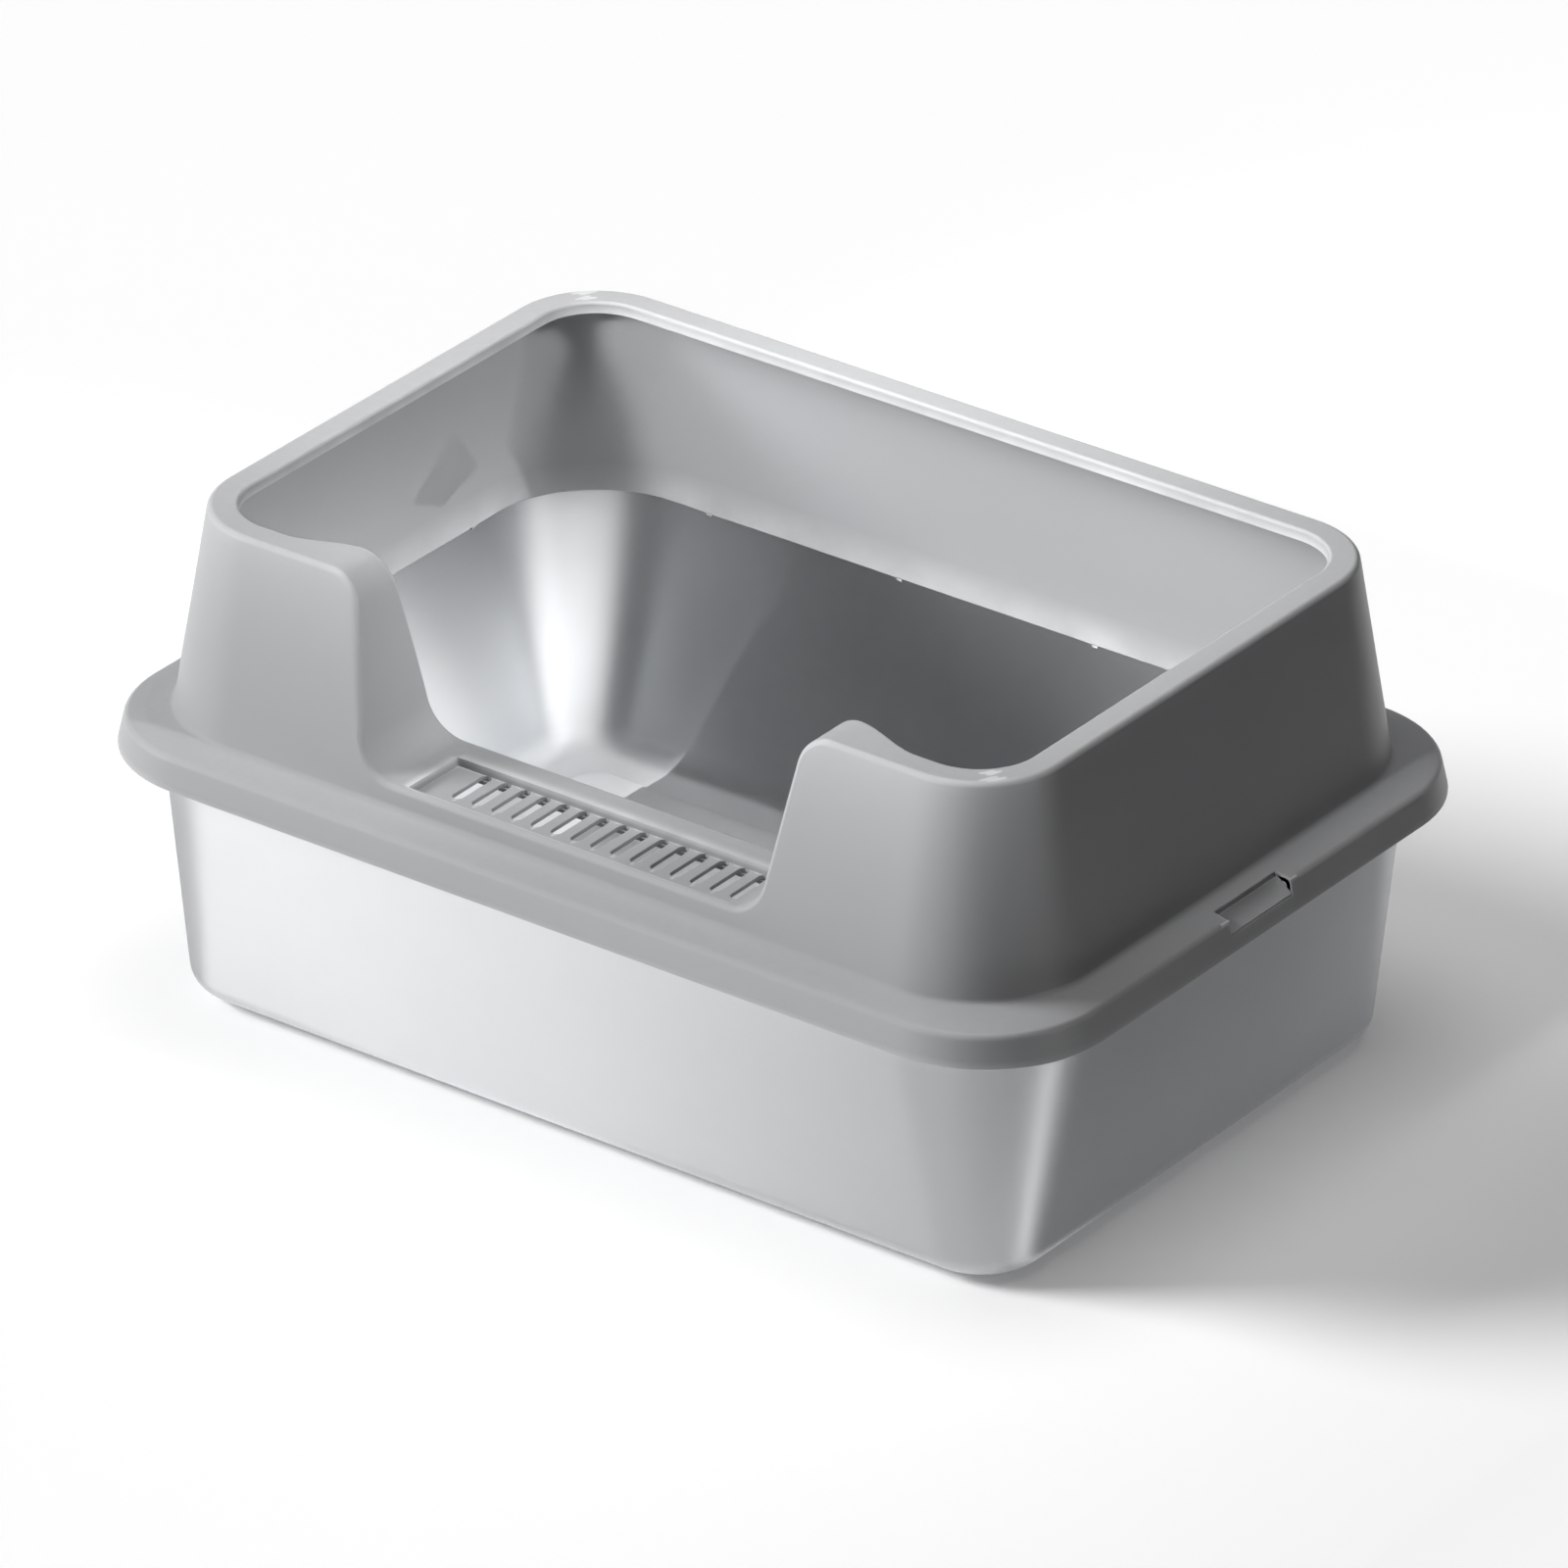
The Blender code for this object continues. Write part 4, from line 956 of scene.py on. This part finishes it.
def blackRubber():
    made, tree, shader = newMaterial("blackRubber")
    slow = placed(tree, slowGroup, Scale=60.0, Contrast=1.3).outputs["Mask"]
    grain = placed(tree, grainGroup, Scale=1500.0, Coarse=0.8)
    wearAndHighlight = placed(tree, wearAndHighlightGroup, Start=0.55, Width=0.12, Breakup=300.0).outputs["Mask"]
    colour = mixColour(tree, slow, (0.022, 0.022, 0.023), (0.040, 0.040, 0.041))
    colour = mixColour(tree, wearAndHighlight, colour, (0.10, 0.10, 0.10))
    tree.links.new(colour, shader.inputs["Base Color"])
    tree.links.new(ranged(tree, slow, 0.72, 0.88), shader.inputs["Roughness"])
    bump = put(tree, "Bump", {"Height": grain.outputs["Height"], "Strength": 0.3, "Distance": 0.0002})
    tree.links.new(bump.outputs["Normal"], shader.inputs["Normal"])
    return made


plastic = mouldedPlastic()
panSteel = drawnSteel("satinSteel", 2600.0, 0.10, 0.44, 0.52, rotation=0.25)
wireSteel = drawnSteel("plainWire", 5200.0, 0.20, 0.22, 0.32)
rubber = blackRubber()
for piece, finish, body, slot, node in (
        (splashGuard, plastic, "guard", "guard_plastic", "splash_guard"),
        (steelPan, panSteel, "pan", "drawn_steel", "steel_pan"),
        (grateTop, plastic, "grate", "guard_plastic", "litter_grate"),
        (latches["left"], plastic, "left_latch", "guard_plastic", "latch_left"),
        (latches["right"], plastic, "right_latch", "guard_plastic", "latch_right")):
    piece.data.materials.append(finish)
    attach(piece, body)
    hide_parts(node)
for name, obj in frame["nodes"].items():
    if name.startswith("foot_"):
        obj.material_slots[0].material = rubber
    elif "pin" in name or "spring" in name:
        obj.material_slots[0].material = wireSteel

stage = {
    "floorColour": (0.93, 0.93, 0.93),
    "floorSize": 14.0,
    "keyFrom": (-0.78, -0.48, 0.54),        # direction the key light comes from
    "keyStrength": 3.5,
    "keySoftness": 22.0,
    "topStrength": 1.05,
    "topSoftness": 50.0,
    "ambient": 0.05,
    "floorGlow": 0.10,
    "flagAt": 0.46,             # where the black card stands beyond the right side
    "flagReach": 0.7,
}
panels = {
    "insideFill": {
        "target": (-0.15, 0.02, 0.17), "direction": (0.77, 0.05, 0.62), "distance": 1.1,
        "width": 0.36, "height": 0.18, "radiance": 1.25, "spread": 14.0, "glossy": False},
    "backFill": {
        "target": (0.0, 0.13, 0.19), "direction": (-0.08, -0.87, 0.50), "distance": 1.1,
        "width": 0.52, "height": 0.14, "radiance": 1.7, "spread": 16.0, "glossy": False},
    "panCard": {
        "target": (-0.20, 0.06, 0.055), "direction": (0.90, 0.0, -0.43), "distance": 0.055,
        "width": 0.17, "height": 0.10, "radiance": 2.8, "diffuse": False},
    "frontPanel": {
        "target": (-0.2, -0.15, 0.1), "direction": (-0.66, -0.72, 0.25), "distance": 1.4,
        "width": 1.1, "height": 0.9, "radiance": 2.9, "diffuse": False},
    "rightStrip": {
        "target": (0.2, 0.0, 0.1), "direction": (1.0, -0.02, 0.35), "distance": 1.6,
        "width": 0.22, "height": 1.4, "radiance": 5.0, "diffuse": False},
}
view = {
    "turn": 36.4224,            # degrees round from the front, and up from level
    "rise": 28.1613,
    "roll": 0.222,
    "distance": 6.0673,
    "aim": (-0.00125, 0.0091),  # right and up, from the skirt's foot over the middle
    "lens": 328.62,
    "sensor": 36.0,
}


def makeFloor():
    # a flat square under the box
    reach = stage["floorSize"]
    across = np.linspace(-reach, reach, 9)
    x, y = np.meshgrid(across, across, indexing="ij")
    points = np.stack([x, y, np.zeros_like(x)], axis=-1)
    faces = sheetFaces(9, 9, np.ones((8, 8), bool), 0, False, closed=False)
    floor = makeObject("paleFloor", points, faces.tolist(), recalculate=False)
    made, tree, shader = newMaterial("palePaper")
    slow = placed(tree, slowGroup, Scale=0.7, Contrast=0.8).outputs["Mask"]
    bright = tuple(channel + 0.01 for channel in stage["floorColour"])
    tree.links.new(mixColour(tree, slow, stage["floorColour"], bright), shader.inputs["Base Color"])
    shader.inputs["Roughness"].default_value = 0.9
    shader.inputs["Specular IOR Level"].default_value = 0.1
    shader.inputs["Emission Color"].default_value = (1.0, 1.0, 1.0, 1.0)
    shader.inputs["Emission Strength"].default_value = stage["floorGlow"]
    floor.data.materials.append(made)


def addWideLight(name, direction, strength, softness, glossy=True):
    # even light from one direction, as soft as a diffuser that covers this angle of the sky
    lamp = bpy.data.lights.new(name, "SUN")
    lamp.energy = strength
    lamp.angle = math.radians(softness)
    obj = bpy.data.objects.new(name, lamp)
    obj.rotation_euler = Vector(direction).to_track_quat("Z", "Y").to_euler()
    obj.visible_glossy = glossy
    bpy.context.scene.collection.objects.link(obj)


def addPanel(name, target, direction, distance, width, height, radiance, spread=180.0,
             diffuse=True, glossy=True):
    # a flat softbox facing the target; one that isn't diffuse shows in reflections only
    lamp = bpy.data.lights.new(name, "AREA")
    lamp.shape = "RECTANGLE"
    lamp.size, lamp.size_y = width, height
    lamp.energy = radiance * math.pi * width * height
    lamp.spread = math.radians(spread)
    obj = bpy.data.objects.new(name, lamp)
    away = Vector(direction).normalized()
    obj.location = Vector(target) + away * distance
    obj.rotation_euler = away.to_track_quat("Z", "Y").to_euler()
    obj.visible_diffuse = diffuse
    obj.visible_glossy = glossy
    obj.visible_camera = False
    bpy.context.scene.collection.objects.link(obj)


def darkFlag():
    # a black card beyond the right side: seen in reflections and bounced light, casts no shadow
    reach = stage["flagReach"]
    y, z = np.meshgrid(np.linspace(-reach, reach, 5), np.linspace(0.0, reach, 5), indexing="ij")
    points = np.stack([np.full_like(y, stage["flagAt"]), y, z], axis=-1)
    faces = sheetFaces(5, 5, np.ones((4, 4), bool), 0, False, closed=False)
    flag = makeObject("darkFlag", points, faces.tolist())
    made, _, shader = newMaterial("blackCard")
    shader.inputs["Base Color"].default_value = (0.01, 0.01, 0.01, 1.0)
    shader.inputs["Roughness"].default_value = 1.0
    flag.data.materials.append(made)
    flag.visible_camera = False
    flag.visible_shadow = False


def makeCamera():
    # a long lens, placed by its direction from the box, its distance and its aim
    turn, rise, roll = (math.radians(view[angle]) for angle in ("turn", "rise", "roll"))
    aimX, aimY = view["aim"]
    back = Vector((math.sin(turn) * math.cos(rise), -math.cos(turn) * math.cos(rise), math.sin(rise)))
    level = Vector((math.cos(turn), math.sin(turn), 0.0))
    upright = back.cross(level)
    right = level * math.cos(roll) + upright * math.sin(roll)
    up = upright * math.cos(roll) - level * math.sin(roll)
    place = back * view["distance"] - right * aimX - up * aimY + Vector((0.0, 0.0, skirtZ))
    lens = bpy.data.cameras.new("view")
    lens.lens, lens.sensor_width = view["lens"], view["sensor"]
    lens.clip_end = 100.0
    camera = bpy.data.objects.new("view", lens)
    bpy.context.scene.collection.objects.link(camera)
    camera.matrix_world = Matrix.Translation(place) @ Matrix((right, up, back)).transposed().to_4x4()
    bpy.context.scene.camera = camera


print("stage")
makeFloor()
makeCamera()
addWideLight("keyLight", stage["keyFrom"], stage["keyStrength"], stage["keySoftness"], glossy=False)
addWideLight("topLight", (0.0, 0.0, 1.0), stage["topStrength"], stage["topSoftness"])
for name, settings in panels.items():
    addPanel(name, **settings)
darkFlag()
bpy.context.scene.view_settings.view_transform = "Standard"
world = bpy.data.worlds.new("softRoom")
world.use_nodes = True
bpy.context.scene.world = world
world.node_tree.nodes["Background"].inputs["Color"].default_value = (0.93, 0.96, 1.0, 1.0)
world.node_tree.nodes["Background"].inputs["Strength"].default_value = stage["ambient"]
